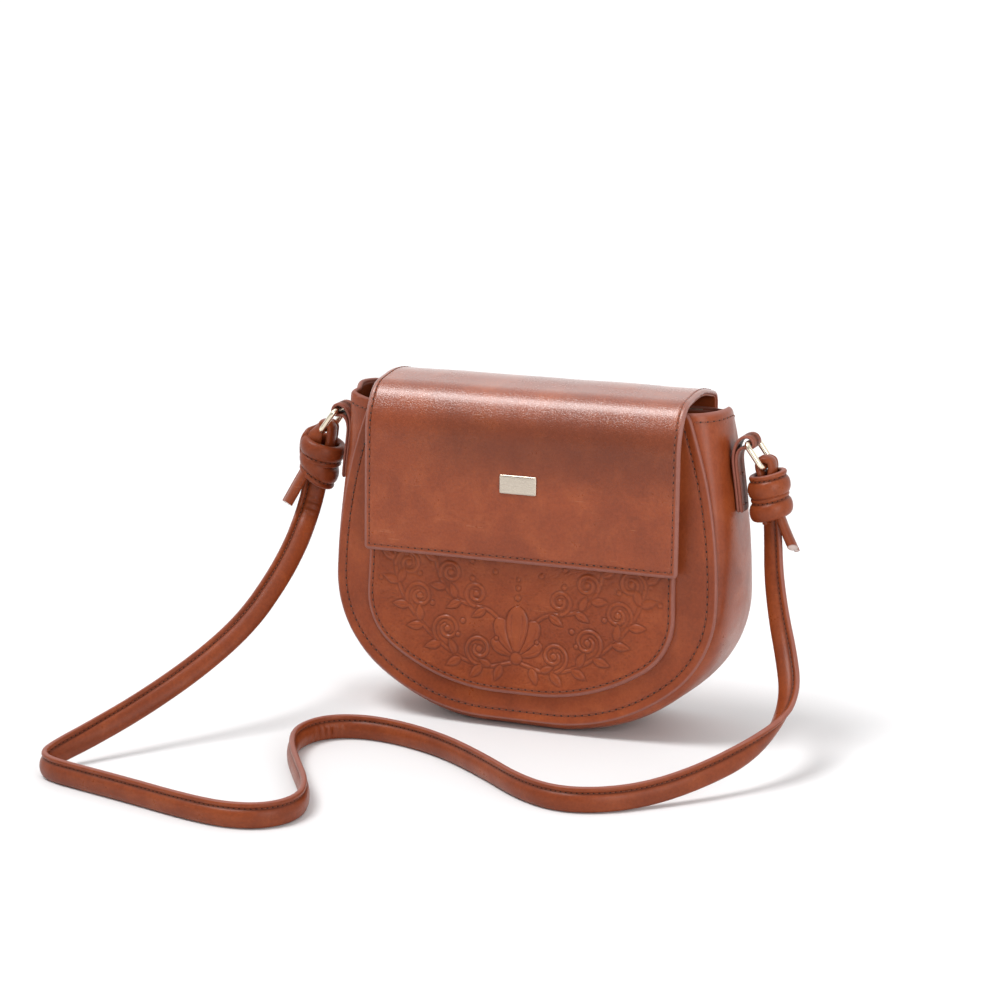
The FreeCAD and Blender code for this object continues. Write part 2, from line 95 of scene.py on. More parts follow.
RING_WIRE, RING_HALF, RING_LENGTH, RING_BEND = 1.5, 9.0, 14.5, 3.0
RING_TILT = math.radians(36.0)
RING_DOWN = np.array((math.sin(RING_TILT), 0.0, -math.cos(RING_TILT)))
KNOT_TOP = BAR + RING_LENGTH * RING_DOWN

# Seams, drawn in from the edges of the panels, the pocket and the flap
PANEL_SEAM, POCKET_SEAM, FLAP_SEAM = 5.0, 3.1, 3.1

# Points of the flat, the wide arc, the corner arc and the side of half an outline
BODY_STEPS, POCKET_STEPS = (12, 48, 36, 64), (20, 130, 80, 100)

# A stitch in five rings: place along it, thickness and rise, as shares of its own sizes
STITCH_RINGS = np.array(((-1, 0.35, -0.9), (-0.72, 0.85, 0.1), (0, 1, 0.45), (0.72, 0.85, 0.1),
                         (1, 0.35, -0.9)))
STITCH_SIDES = 6

# Needle holes in thread radii, and the step in millimetres that finds a seam's direction
HOLE_LENGTH, HOLE_WIDTH, SEAM_STEP = 1.7, 1.5, 0.2

# Steps and spread of the running mean that softens the corners of an outline
SOFT_STEPS, SOFT_SPREAD = range(-5, 6), 1.6

# Sizes of the rows that close the end of a swept strip
CAP_SHARES = (0.0, 0.75, 0.94)

# Control points of the strap, from the left knot over the floor to the right knot
STRAP_ROUTE = np.array((
    (-131.4, 0, 120.2), (-133.3, -0.2, 112.0), (-135.1, -1.2, 104.2), (-135.2, -9.5, 94.8),
    (-133.2, -25, 86), (-132.5, -48, 73.5), (-137, -76, 56), (-150, -104, 39.5),
    (-167.5, -134, 24.5), (-183.5, -161, 13.9), (-193.5, -180.5, 8.6), (-195, -192, 6.8),
    (-185.5, -200.5, 6.7), (-166, -206, 6.7), (-133, -215, 6.7), (-97, -226, 6.7),
    (-71, -230.5, 6.7), (-52, -224, 6.7), (-44.5, -206, 6.7), (-52, -183, 6.7), (-69, -157, 6.7),
    (-86, -130, 6.7), (-94.5, -106, 6.7), (-89, -85, 6.7), (-70, -76, 6.7), (-44, -80, 6.7),
    (-15, -93, 6.7), (15, -115, 6.7), (42, -138, 6.7), (66, -149, 6.7), (88, -143, 6.7),
    (107, -125.5, 7.2), (126.5, -105.5, 12.6), (143, -83, 20), (152, -60, 29), (151.5, -40, 40),
    (144.5, -25, 54), (136.5, -13, 70.5), (130.8, -4.5, 90), (128.8, -0.3, 110.5), (128.0, 0, 119.4),
)) * MM
STRAP_CUTS = np.array(((-175.8, -203.3, 6.7), (97.5, -134.3, 6.9))) * MM
STRAP_STEP = 1.25

TINT = {"subtype": "COLOR", "size": 3, "min": 0, "max": 1}


class HANDBAG_PG_leather(bpy.types.PropertyGroup):
    """Colours of the leather"""
    light: FloatVectorProperty(name="Light", description="Rubbed tone of the leather",
                               default=(0.34, 0.077, 0.0222), **TINT)
    middle: FloatVectorProperty(name="Middle", description="Main tone of the leather",
                                default=(0.27, 0.053, 0.0145), **TINT)
    dark: FloatVectorProperty(name="Dark", description="Shaded tone of the leather",
                              default=(0.215, 0.041, 0.0118), **TINT)
    paint: FloatVectorProperty(name="Edge paint", description="Paint on the cut edges",
                               default=(0.26, 0.088, 0.062), **TINT)
    lining: FloatVectorProperty(name="Lining", description="Cloth inside the bag",
                                default=(0.075, 0.034, 0.02), **TINT)


class HANDBAG_PG_sewing(bpy.types.PropertyGroup):
    """Thread and stitches"""
    pitch: FloatProperty(name="Stitch pitch", description="From one stitch to the next",
                         unit="LENGTH", default=0.0039, min=0.001)
    length: FloatProperty(name="Stitch length", description="Length of thread that shows",
                          unit="LENGTH", default=0.0028, min=0.0005)
    radius: FloatProperty(name="Thread radius", description="Half the thickness of the thread",
                          unit="LENGTH", default=0.00036, min=0.0001)
    thread: FloatVectorProperty(name="Thread", description="Colour of the thread",
                                default=(0.13, 0.03, 0.0105), **TINT)


class HANDBAG_PG_strap(bpy.types.PropertyGroup):
    """Padded strap"""
    width: FloatProperty(name="Width", description="Width with its stitched edge",
                         unit="LENGTH", default=0.013, min=0.004)
    thick: FloatProperty(name="Thickness", description="Thickness of the padded part",
                         unit="LENGTH", default=0.0056, min=0.001)


class HANDBAG_PG_stage(bpy.types.PropertyGroup):
    """Floor, light and camera"""
    floor: FloatVectorProperty(name="Floor", description="Colour of the floor",
                               default=(0.79, 0.79, 0.795), **TINT)
    front: FloatProperty(name="Front surround", description="Brightness before the bag",
                         default=0.47, min=0)
    back: FloatProperty(name="Back surround", description="Brightness behind the bag",
                        default=1.1, min=0)
    key: FloatProperty(name="Key light", description="Strength of the soft light above",
                       default=2.15, min=0)
    side: FloatProperty(name="Side light", description="Power of the soft box at the right",
                        default=6.0, min=0)
    lens: FloatProperty(name="Lens", description="Focal length in millimetres", default=108.0, min=10)


def unit(vectors):
    """Vectors divided by their own lengths."""
    return vectors / np.linalg.norm(vectors, axis=-1, keepdims=True)


def smooth_step(low, high, value):
    """0 below low, 1 above high, and 3 t squared less 2 t cubed between."""
    t = np.clip((value - low) / (high - low), 0, 1)
    return t * t * (3 - 2 * t)


def bell(value, middle, width):
    """1 at the middle, falling off as the exponential of minus the squared distance in widths."""
    return np.exp(-(((value - middle) / width) ** 2))


def waves(u, v, size, seed):
    """Soft uneven field of about unit height: a sum of seeded plane waves of about one size."""
    rng = np.random.default_rng(seed)
    total = np.zeros(np.broadcast(u, v).shape)
    for angle, phase, stretch in rng.random((9, 3)):
        k = 2 * math.pi / (size * (0.7 + 0.8 * stretch))
        along = u * math.cos(math.pi * angle) + v * math.sin(math.pi * angle)
        total += np.sin(k * along + 2 * math.pi * phase)
    return total / 3


def grid_quads(rows, cols):
    """Corner numbers of the quads of a grid of points numbered row by row."""
    first = np.arange(rows - 1)[:, None] * cols + np.arange(cols - 1)
    return np.stack([first, first + 1, first + cols + 1, first + cols], -1).reshape(-1, 4)


def mesh_piece(name, points, faces, finish, fields=None):
    """Mesh at the origin from points in millimetres: doubles merged, faces turned outwards."""
    mesh = bpy.data.meshes.new(name)
    mesh.from_pydata((points * MM).tolist(), [], faces.tolist())
    for key, values in (fields or {}).items():
        layer = mesh.attributes.new(key, "FLOAT", "POINT")
        layer.data.foreach_set("value", values.astype(np.float32))
    shell = bmesh.new()
    shell.from_mesh(mesh)
    bmesh.ops.remove_doubles(shell, verts=shell.verts, dist=MERGE)
    bmesh.ops.dissolve_degenerate(shell, edges=shell.edges, dist=SLIVER)
    bmesh.ops.recalc_face_normals(shell, faces=shell.faces)
    shell.to_mesh(mesh)
    shell.free()
    mesh.shade_smooth()
    mesh.set_sharp_from_angle(angle=SHARP)
    mesh.materials.append(material(finish))
    obj = bpy.data.objects.new(name, mesh)
    bpy.context.scene.collection.objects.link(obj)
    return obj


def grid_piece(name, grids, finish, replaces, body=None):
    """One closed piece from grids of points in millimetres, each (points, fields by name).

    The grids meet in shared rims, which are merged; a row in one point becomes a pole.
    """
    points, faces, fields, start = [], [], {key: [] for key in grids[0][1]}, 0
    for grid, values in grids:
        rows, cols = grid.shape[:2]
        points.append(grid.reshape(-1, 3))
        faces.append(grid_quads(rows, cols) + start)
        for key, parts in fields.items():
            parts.append(np.broadcast_to(values[key], (rows, cols)).ravel())
        start += rows * cols
    fields = {key: np.concatenate(parts) for key, parts in fields.items()}
    obj = mesh_piece(name, np.concatenate(points), np.concatenate(faces), finish, fields)
    if body:
        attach(obj, body)
    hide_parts(*replaces)
    return obj


PLAIN = {"edge": np.zeros((1, 1))}


def arc(cx, cz, radius, start, end, count):
    """Points of a circle after its start angle, up to its end angle."""
    angle = np.linspace(start, end, count + 1)[1:]
    return np.stack([cx + radius * np.cos(angle), cz + radius * np.sin(angle)], -1)


def round_bottom(half, bottom, widest, flat, share, counts):
    """Right half of a round bottom: a flat, a wide arc and a corner arc tangent to both."""
    reach = half - flat
    wide = share * reach
    drop = wide - widest + bottom
    small = (wide**2 - drop**2 - reach**2) / (2 * (wide - reach))
    meet = math.atan2(widest - bottom - wide, half - small - flat)
    level = np.stack([np.linspace(0, flat, counts[0] + 1), np.full(counts[0] + 1, bottom)], -1)
    return np.concatenate([level, arc(flat, bottom + wide, wide, -math.pi / 2, meet, counts[1]),
                           arc(half - small, widest, small, meet, 0, counts[2])])


def side_arc(bulge, inset):
    """Half the widest width of the body at one depth, and the radius of the side arc above it."""
    inward = PANEL_HALF - PANEL_TOP_HALF + (GUSSET_BULGE - GUSSET_TOP_BULGE) * bulge
    radius = ((RIM - WIDEST) ** 2 + inward**2) / (2 * inward)
    return PANEL_HALF + GUSSET_BULGE * bulge - inset, radius


def side_x(height, bulge, inset):
    """Half the body's width at a height over the widest: the side arc solved for X."""
    half, radius = side_arc(bulge, inset)
    return half - radius + np.sqrt(radius**2 - (height - WIDEST) ** 2)


def body_half(inset=0.0, bulge=0.0, drop=0.0, top=RIM):
    """Right half of the body's outline at one depth, drawn in: the round bottom and a side arc."""
    half, radius = side_arc(bulge, inset)
    bottom = PANEL_BOTTOM * (1 - drop) + inset
    lower = round_bottom(half, bottom, WIDEST, BASE_FLAT_HALF, BASE_SHARE, BODY_STEPS)
    end = math.asin((top - WIDEST) / radius)
    return np.concatenate([lower, arc(half - radius, WIDEST, radius, 0, end, BODY_STEPS[3])])


def pocket_half(inset):
    """Right half of the pocket's outline, with an upright side that draws in under the flap."""
    half, count = POCKET_HALF - inset, POCKET_STEPS[3]
    lower = round_bottom(half, POCKET_BOTTOM + inset, POCKET_WIDEST, POCKET_FLAT_HALF, POCKET_SHARE,
                         POCKET_STEPS)
    height = np.linspace(POCKET_WIDEST, POCKET_TOP - inset, count + 1)[1:]
    line = np.concatenate([lower, np.stack([np.full(count, half), height], -1)])
    line[:, 0] *= 1 - POCKET_DRAW * smooth_step(28.0, 96.0, line[:, 1])
    return line


def mirrored(right, left=None):
    """Open outline from the left top round the bottom to the right top.

    The left half is the right one mirrored, or another half if one is given.
    """
    return np.concatenate([(right if left is None else left)[:0:-1] * (-1, 1), right])


def closed(right, count):
    """Closed outline with a level top of count points, its corners softened by a running mean."""
    line = mirrored(right)
    top = line[-1] + (line[0] - line[-1]) * np.linspace(0, 1, count + 1)[1:-1, None]
    loop = np.concatenate([line, top])
    weights = [math.exp(-0.5 * (k / SOFT_SPREAD) ** 2) for k in SOFT_STEPS]
    loop = sum(w * np.roll(loop, k, 0) for w, k in zip(weights, SOFT_STEPS)) / sum(weights)
    return np.concatenate([loop, loop[:1]])


def raised_line(line, out):
    """Outline points (x, height) with one distance out of their plane."""
    return np.concatenate([line, np.full((len(line), 1), out)], 1)


def ring_rows(outline, profile, centre, count, rise=0.0, base=0.0):
    """Rings of (x, height, out) over a plate, from a pole at its base to a pole on its face.

    Profile rows of (inset, out) go round the edge, then count rings shrink to the centre.
    """
    rows = [raised_line(outline(inset), out) for inset, out in profile]
    last, centre = rows[-1], np.array(centre)
    rows.insert(0, np.broadcast_to((*centre, base), last.shape))
    for share in np.linspace(1, 0, count + 1)[1:]:
        ring = last.copy()
        ring[:, :2] = centre + (last[:, :2] - centre) * share
        ring[:, 2] += rise * (1 - share**2)
        rows.append(ring)
    return np.stack(rows)


def on_wall(rows, lean, foot, facing):
    """Rows of (x, height, out) on a wall that leans inwards from its foot, facing along Y."""
    x, v, out = rows[..., 0], rows[..., 1], rows[..., 2]
    return np.stack([x, facing * (out * math.cos(lean) - v * math.sin(lean) + foot),
                     v * math.cos(lean) + out * math.sin(lean)], -1)


def on_front(rows):
    """Rows set on the front plane, which leans back."""
    return on_wall(rows, FRONT_LEAN, FRONT_FOOT, -1)


def on_back(rows):
    """Rows set on the back plane, which leans forward."""
    return on_wall(rows, BACK_LEAN, BACK_FOOT, 1)


def at_depth(x, v, share):
    """Outline points at a share of the depth between the front and back planes."""
    lean = FRONT_LEAN - (FRONT_LEAN + BACK_LEAN) * share
    foot = (BACK_FOOT + FRONT_FOOT) * share - FRONT_FOOT
    return np.stack([x, v * np.sin(lean) + foot, v * np.cos(lean)], -1)


def line_lengths(path):
    """Running length along a path."""
    return np.concatenate([[0], np.cumsum(np.linalg.norm(np.diff(path, axis=0), axis=1))])


def looked_up(at, stops, table):
    """Columns of a table between its stops, each a straight line from stop to stop."""
    return np.stack([np.interp(at, stops, column) for column in table.T], -1)


def resample(path, lengths):
    """Path at new running lengths."""
    return looked_up(lengths, line_lengths(path), path)


def evened(path, count):
    """Path with count points at even distances."""
    return resample(path, np.linspace(0, line_lengths(path)[-1], count))


def through(points, count):
    """Smooth line through points: each span a cubic that leaves along its neighbours' chord."""
    points = np.asarray(points, float)
    wide = np.concatenate([2 * points[:1] - points[1:2], points, 2 * points[-1:] - points[-2:-1]])
    share = np.linspace(0, len(points) - 1, count)
    k = np.minimum(share.astype(int), len(points) - 2)
    t = (share - k)[:, None]
    a, b, c, d = (wide[k + step] for step in range(4))
    return b + 0.5 * t * (c - a + t * (2 * a - 5 * b + 4 * c - d + t * (3 * b - a - 3 * c + d)))


def stitch_row(name, path, normals, body=None, skip=0.0, fine=1.0):
    """Row of stitches along a path: one arched six-sided thread, repeated at the stitch pitch.

    Between the threads the same form, short, wide and sunk, makes the needle holes, coloured nearly black
    as painted shade.
    """
    sewing = bpy.context.scene.handbag_sewing
    pitch, length, radius = (
        fine * size / MM for size in (sewing.pitch, sewing.length, sewing.radius))
    total = line_lengths(path)[-1] - 2 * skip
    count = max(2, int(round(total / pitch)))
    places = np.arange(2 * count - 1)
    stops = skip + (places + 1) * total / (2 * count)
    hole = (places % 2)[:, None, None]
    points, up = resample(path, stops), looked_up(stops, line_lengths(path), normals)
    ahead = unit(resample(path, stops + SEAM_STEP) - resample(path, stops - SEAM_STEP))
    up = unit(up - ahead * np.sum(up * ahead, 1, keepdims=True))
    side = np.cross(ahead, up)
    along, thick, lift = (column[:, None] for column in STITCH_RINGS.T)
    along = along * np.where(hole, HOLE_LENGTH * radius, length / 2)
    thick = thick * np.where(hole, HOLE_WIDTH * radius, radius)
    lift = lift * radius - np.where(hole, radius, 0)
    turn = np.linspace(0, 2 * math.pi, STITCH_SIDES + 1)[:-1]
    form = np.broadcast_arrays(along, thick * np.cos(turn), lift + thick * np.sin(turn))
    verts = points[:, None, None]
    for size, axis in zip(form, (ahead, side, up)):
        verts = verts + size[..., None] * axis[:, None, None]
    ring = np.arange(STITCH_SIDES)
    after = (ring + 1) % STITCH_SIDES
    wall = np.stack([ring, after, after + STITCH_SIDES, ring + STITCH_SIDES], -1)
    walls = [wall + STITCH_SIDES * k for k in range(len(STITCH_RINGS) - 1)]
    caps = np.array(((0, 3, 2, 1), (0, 5, 4, 3), (24, 25, 26, 27), (24, 27, 28, 29)))
    each = STITCH_SIDES * len(STITCH_RINGS)
    faces = np.concatenate([*walls, caps]) + each * places[:, None, None]
    obj = mesh_piece(name, verts.reshape(-1, 3), faces.reshape(-1, 4), "thread",
                     {"hole": np.repeat(places % 2, each)})
    if body:
        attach(obj, body)
    return obj


def sew_on(name, place, flat, up=1, shift=0.0, skip=0.0):
    """Stitches along a line of (x, height, out) on the front or the back plane."""
    path = place(flat)
    stitch_row(name, path + shift, place(flat + (0, 0, up)) - path, "bag", skip)


def sweep_rows(path, width_axis, profile, loop=False):
    """Closed profile of (width, thickness) carried along a path, with the axes at each point.

    Unless the path is a loop, shrinking rows close both ends.
    """
    ahead = unit(np.gradient(path, axis=0))
    if loop:
        ahead[0] = ahead[-1] = unit(path[1] - path[-2])
    wide = unit(width_axis - ahead * np.sum(width_axis * ahead, 1, keepdims=True))
    thick = np.cross(ahead, wide)
    profile = np.broadcast_to(profile, (len(path),) + np.shape(profile)[-2:])
    rows = path[:, None] + profile[..., 0:1] * wide[:, None] + profile[..., 1:2] * thick[:, None]
    if not loop:
        middle = profile.mean(1)
        hub = path + middle[:, 0:1] * wide + middle[:, 1:2] * thick
        first = [hub[0] + (rows[0] - hub[0]) * k for k in CAP_SHARES]
        last = [hub[-1] + (rows[-1] - hub[-1]) * k for k in CAP_SHARES[::-1]]
        rows = np.concatenate([first, rows, last])
    return rows, wide, thick


def socket_link(tree, node, key, value):
    """Set an input to a value or join it to another node's output."""
    if isinstance(value, bpy.types.NodeSocket):
        tree.links.new(value, node.inputs[key])
    else:
        node.inputs[key].default_value = value


def add_node(tree, kind, values=None, **settings):
    """New node with its settings and inputs."""
    node = tree.nodes.new(kind)
    for key, value in settings.items():
        setattr(node, key, value)
    for key, value in (values or {}).items():
        socket_link(tree, node, key, value)
    return node


def mixed(tree, factor, first, second, blend="MIX"):
    """Colour mixed from two colours by a factor."""
    values = {0: factor, 6: first, 7: second}
    return add_node(tree, "ShaderNodeMix", values, data_type="RGBA", blend_type=blend).outputs[2]


def ranged(tree, value, low, high, to_low=0.0, to_high=1.0):
    """Value carried from one range to another, held at its ends."""
    values = {"Value": value, "From Min": low, "From Max": high, "To Min": to_low, "To Max": to_high}
    return add_node(tree, "ShaderNodeMapRange", values).outputs["Result"]


def sums(tree, operation, first, second):
    """One arithmetic step."""
    return add_node(tree, "ShaderNodeMath", {0: first, 1: second}, operation=operation).outputs[0]


def noise(tree, place, scale, detail, rough=0.5, twist=0.0):
    """Cloudy noise between 0 and 1."""
    values = {"Vector": place, "Scale": scale, "Detail": detail, "Roughness": rough, "Distortion": twist}
    return add_node(tree, "ShaderNodeTexNoise", values).outputs["Fac"]


def cells(tree, place, scale, feature="F1", **values):
    """Distances in a pattern of cells."""
    values = {"Vector": place, "Scale": scale, **values}
    return add_node(tree, "ShaderNodeTexVoronoi", values, feature=feature).outputs["Distance"]


def stretched(tree, place, scale, turn=(0.0, 0.0, 0.0)):
    """Coordinates scaled by axis and turned."""
    values = {"Vector": place, "Scale": scale, "Rotation": turn}
    return add_node(tree, "ShaderNodeMapping", values).outputs[0]


def field(tree, name):
    """Mask that a piece carries on its points."""
    return add_node(tree, "ShaderNodeAttribute", attribute_name=name).outputs["Fac"]


def new_group(name, inputs, outputs):
    """Empty shader node group with named sockets."""
    tree = bpy.data.node_groups.new(name, "ShaderNodeTree")
    for way, sockets in (("INPUT", inputs), ("OUTPUT", outputs)):
        for label, kind in sockets.items():
            tree.interface.new_socket(label, in_out=way, socket_type=kind)
    return tree, tree.nodes.new("NodeGroupInput").outputs, tree.nodes.new("NodeGroupOutput")


def group_node(tree, make, values):
    """Outputs of a node with a shared group, which is made when it is first asked for."""
    name = make.__name__
    group = bpy.data.node_groups.get(name) or make(name)
    return add_node(tree, "ShaderNodeGroup", values, node_tree=group).outputs


COLOUR, NUMBER, PLACE = "NodeSocketColor", "NodeSocketFloat", "NodeSocketVector"
SCUFF_TONE, WORN_PAINT = (0.52, 0.2, 0.1, 1.0), (0.37, 0.15, 0.105, 1.0)
# Needle holes are painted nearly black: painted shade inside them
CORE_TONE, PAINTED_HOLE_SHADE = (0.62, 0.5, 0.45, 1.0), (0.012, 0.004, 0.002, 1.0)
BOARD_DARK, BOARD_LIGHT = (0.16, 0.12, 0.085, 1.0), (0.3, 0.24, 0.17, 1.0)


def waxed_leather(name):
    """Waxed leather: cloudy tone, rubbed patches, fine grain, small creases and short scuffs."""
    tree, given, out = new_group(
        name, {"Place": PLACE, "Light": COLOUR, "Middle": COLOUR, "Dark": COLOUR, "Grain": NUMBER},
        {"Colour": COLOUR, "Roughness": NUMBER, "Height": NUMBER})
    place = given["Place"]
    cloud = noise(tree, place, 27.0, 3.0, 0.5, 0.7)
    patch = noise(tree, place, 64.0, 5.0, 0.6, 0.4)
    fine = noise(tree, place, 620.0, 3.0, 0.6)
    streak = noise(tree, stretched(tree, place, (48.0, 48.0, 1300.0), (0.12, 0.2, 0.0)), 1.0, 2.0)
    pebble = cells(tree, place, given["Grain"], "SMOOTH_F1", Smoothness=0.6)
    crease = cells(tree, place, 850.0, "DISTANCE_TO_EDGE")
    tone = mixed(tree, ranged(tree, cloud, 0.33, 0.6), given["Dark"], given["Middle"])
    rubbed = sums(tree, "MULTIPLY", ranged(tree, patch, 0.44, 0.7),
                  ranged(tree, cloud, 0.36, 0.6, 0.35, 1.0))
    tone = mixed(tree, sums(tree, "MULTIPLY", rubbed, 0.85), tone, given["Light"])
    scuffed = sums(tree, "MULTIPLY", ranged(tree, streak, 0.68, 0.76),
                   ranged(tree, patch, 0.52, 0.62, 0.0, 0.4))
    tone = mixed(tree, scuffed, tone, SCUFF_TONE)
    tone = mixed(tree, 1.0, tone, ranged(tree, fine, 0.3, 0.7, 0.88, 1.1), "MULTIPLY")
    rough = sums(tree, "ADD", ranged(tree, patch, 0.3, 0.7, 0.4, 0.27),
                 ranged(tree, fine, 0.3, 0.7, -0.03, 0.05))
    veins = sums(tree, "MULTIPLY", ranged(tree, crease, 0.0, 0.12),
                 ranged(tree, patch, 0.4, 0.6, 0.15, 0.6))
    height = sums(tree, "ADD", sums(tree, "MULTIPLY", pebble, 0.4), sums(tree, "MULTIPLY", fine, 0.35))
    height = sums(tree, "ADD", height, veins)
    for key, value in (("Colour", tone), ("Roughness", rough), ("Height", height)):
        socket_link(tree, out, key, value)
    return tree


def painted_edge(name):
    """Cut edges: mixes a tone with edge paint by the piece's own edge mask, rubbed by noise."""
    tree, given, out = new_group(
        name, {"Place": PLACE, "Tone": COLOUR, "Paint": COLOUR, "Roughness": NUMBER, "Mask": NUMBER},
        {"Colour": COLOUR, "Roughness": NUMBER})
    rub = noise(tree, given["Place"], 300.0, 4.0, 0.65)
    paint = mixed(tree, ranged(tree, rub, 0.45, 0.75, 0.0, 0.35), given["Paint"], WORN_PAINT)
    mask = ranged(tree, given["Mask"], 0.25, 0.75)
    socket_link(tree, out, "Colour", mixed(tree, mask, given["Tone"], paint))
    values = {0: mask, 2: given["Roughness"], 3: ranged(tree, rub, 0.3, 0.7, 0.42, 0.56)}
    socket_link(tree, out, "Roughness", add_node(tree, "ShaderNodeMix", values).outputs[0])
    return tree


def empty_material(name):
    """Material with its node tree, its shader, and the coordinates of the piece."""
    made = bpy.data.materials.new(name)
    made.use_nodes = True
    tree = made.node_tree
    place = tree.nodes.new("ShaderNodeTexCoord").outputs["Object"]
    return made, tree, tree.nodes["Principled BSDF"], place


def dress(tree, shader, tone, rough, *relief):
    """Join a tone, a roughness and perhaps a bump (strength, distance, height) to a shader."""
    socket_link(tree, shader, "Base Color", tone)
    socket_link(tree, shader, "Roughness", rough)
    if relief:
        values = dict(zip(("Strength", "Distance", "Height"), relief))
        bump = add_node(tree, "ShaderNodeBump", values)
        socket_link(tree, shader, "Normal", bump.outputs["Normal"])


def colour(value, shade=1.0):
    """Colour times a shade, with full opacity."""
    return (*(c * shade for c in value), 1.0)


def leather_material(name, shade, grain, bump, coat=0.1, cut_shade=0.8, gloss=0.3):
    """Leather with painted edges, with painted shade where its relief field is set (cuts, sewn grooves,
    crevices) and a painted highlight where it is negative (raised parts).

    Where a piece is polished, its grain is deeper under a smooth clear coat.
    """
    tones = bpy.context.scene.handbag_leather
    made, tree, shader, place = empty_material(name)
    light, middle, dark = (colour(tone, shade) for tone in (tones.light, tones.middle, tones.dark))
    skin = group_node(tree, waxed_leather, {
        "Place": place, "Light": light, "Middle": middle, "Dark": dark, "Grain": grain})
    # Painted shade and highlight: the relief field darkens cuts, grooves and crevices towards the dark
    # tone, and lightens raised parts towards the light tone
    cut = field(tree, "relief")
    tone = mixed(tree, ranged(tree, cut, 0.0, 1.0, 0.0, cut_shade), skin["Colour"],
                 colour(tones.dark, 0.3))
    tone = mixed(tree, ranged(tree, cut, 0.0, -1.0, 0.0, 0.45), tone, light)
    edge = group_node(tree, painted_edge, {
        "Place": place, "Tone": tone, "Paint": colour(tones.paint), "Roughness": skin["Roughness"],
        "Mask": field(tree, "edge")})
    polish = field(tree, "polish")
    deep, smooth, glaze = (ranged(tree, polish, 0.0, 1.0, *ends)
                           for ends in ((1.0, 2.8), (1.0, 0.72), (coat, 0.95)))
    tone = mixed(tree, field(tree, "core"), edge["Colour"], CORE_TONE)
    dress(tree, shader, tone, sums(tree, "MULTIPLY", edge["Roughness"], smooth),
          bump, 0.001, sums(tree, "MULTIPLY", skin["Height"], deep))
    for key, value in (("Coat Weight", glaze), ("Coat Roughness", 0.3), ("Specular IOR Level", gloss)):
        socket_link(tree, shader, key, value)
    return made


def thread_material(name):
    """Waxed dark thread with a twist along each stitch, and needle holes painted nearly black as shade."""
    made, tree, shader, place = empty_material(name)
    twist = noise(tree, place, 2600.0, 2.0)
    thread = bpy.context.scene.handbag_sewing.thread
    tone = mixed(tree, ranged(tree, twist, 0.35, 0.65), colour(thread), colour(thread, 2.2))
    # Painted shade: the needle holes are coloured nearly black
    tone = mixed(tree, field(tree, "hole"), tone, PAINTED_HOLE_SHADE)
    dress(tree, shader, tone, ranged(tree, twist, 0.3, 0.7, 0.5, 0.7), 0.3, 0.0004, twist)
    return made


def lining_material(name):
    """Brushed lining cloth: short nap over a fine weave."""
    made, tree, shader, place = empty_material(name)
    tint = bpy.context.scene.handbag_leather.lining
    nap, cloud = noise(tree, place, 900.0, 4.0), noise(tree, place, 45.0, 3.0)
    weave = cells(tree, place, 1800.0)
    tone = mixed(tree, ranged(tree, cloud, 0.35, 0.65), colour(tint), colour(tint, 1.7))
    tone = mixed(tree, 1.0, tone, ranged(tree, nap, 0.3, 0.7, 0.8, 1.15), "MULTIPLY")
    dress(tree, shader, tone, ranged(tree, nap, 0.3, 0.7, 0.82, 0.95),
          0.35, 0.0006, sums(tree, "ADD", nap, sums(tree, "MULTIPLY", weave, 0.6)))
    shader.inputs["Sheen Weight"].default_value = 0.25
    return made


def metal_material(name, tint, dark, rough):
    """Plated metal with faint brushing, small scuffs and tarnish."""
    made, tree, shader, place = empty_material(name)
    brush = noise(tree, stretched(tree, place, (60.0, 900.0, 2400.0)), 1.0, 3.0)
    tarnish = noise(tree, place, 240.0, 5.0)
    tone = mixed(tree, ranged(tree, tarnish, 0.55, 0.85, 0.0, 0.35), colour(tint), colour(dark))
    worn = sums(tree, "ADD", ranged(tree, brush, 0.3, 0.7, rough - 0.04, rough + 0.06),
                ranged(tree, tarnish, 0.5, 0.8, 0.0, 0.04))
    dress(tree, shader, tone, worn, 0.008, 0.0003, brush)
    shader.inputs["Metallic"].default_value = 1.0
    return made


def board_material(name):
    """Grey-brown stiffening board with short fibres."""
    made, tree, shader, place = empty_material(name)
    fibre = noise(tree, place, 420.0, 6.0, twist=1.2)
    tone = mixed(tree, ranged(tree, fibre, 0.35, 0.65), BOARD_DARK, BOARD_LIGHT)
    dress(tree, shader, tone, ranged(tree, fibre, 0.3, 0.7, 0.75, 0.95))
    return made


def floor_material(name):
    """Pale matt floor with a trace of unevenness."""
    made, tree, shader, place = empty_material(name)
    cloud = noise(tree, place, 4.0, 3.0)
    base = bpy.context.scene.handbag_stage.floor
    tone = mixed(tree, ranged(tree, cloud, 0.3, 0.7), colour(base), colour(base, 0.985))
    dress(tree, shader, tone, ranged(tree, cloud, 0.3, 0.7, 0.55, 0.65))
    shader.inputs["Specular IOR Level"].default_value = 0.2
    return made


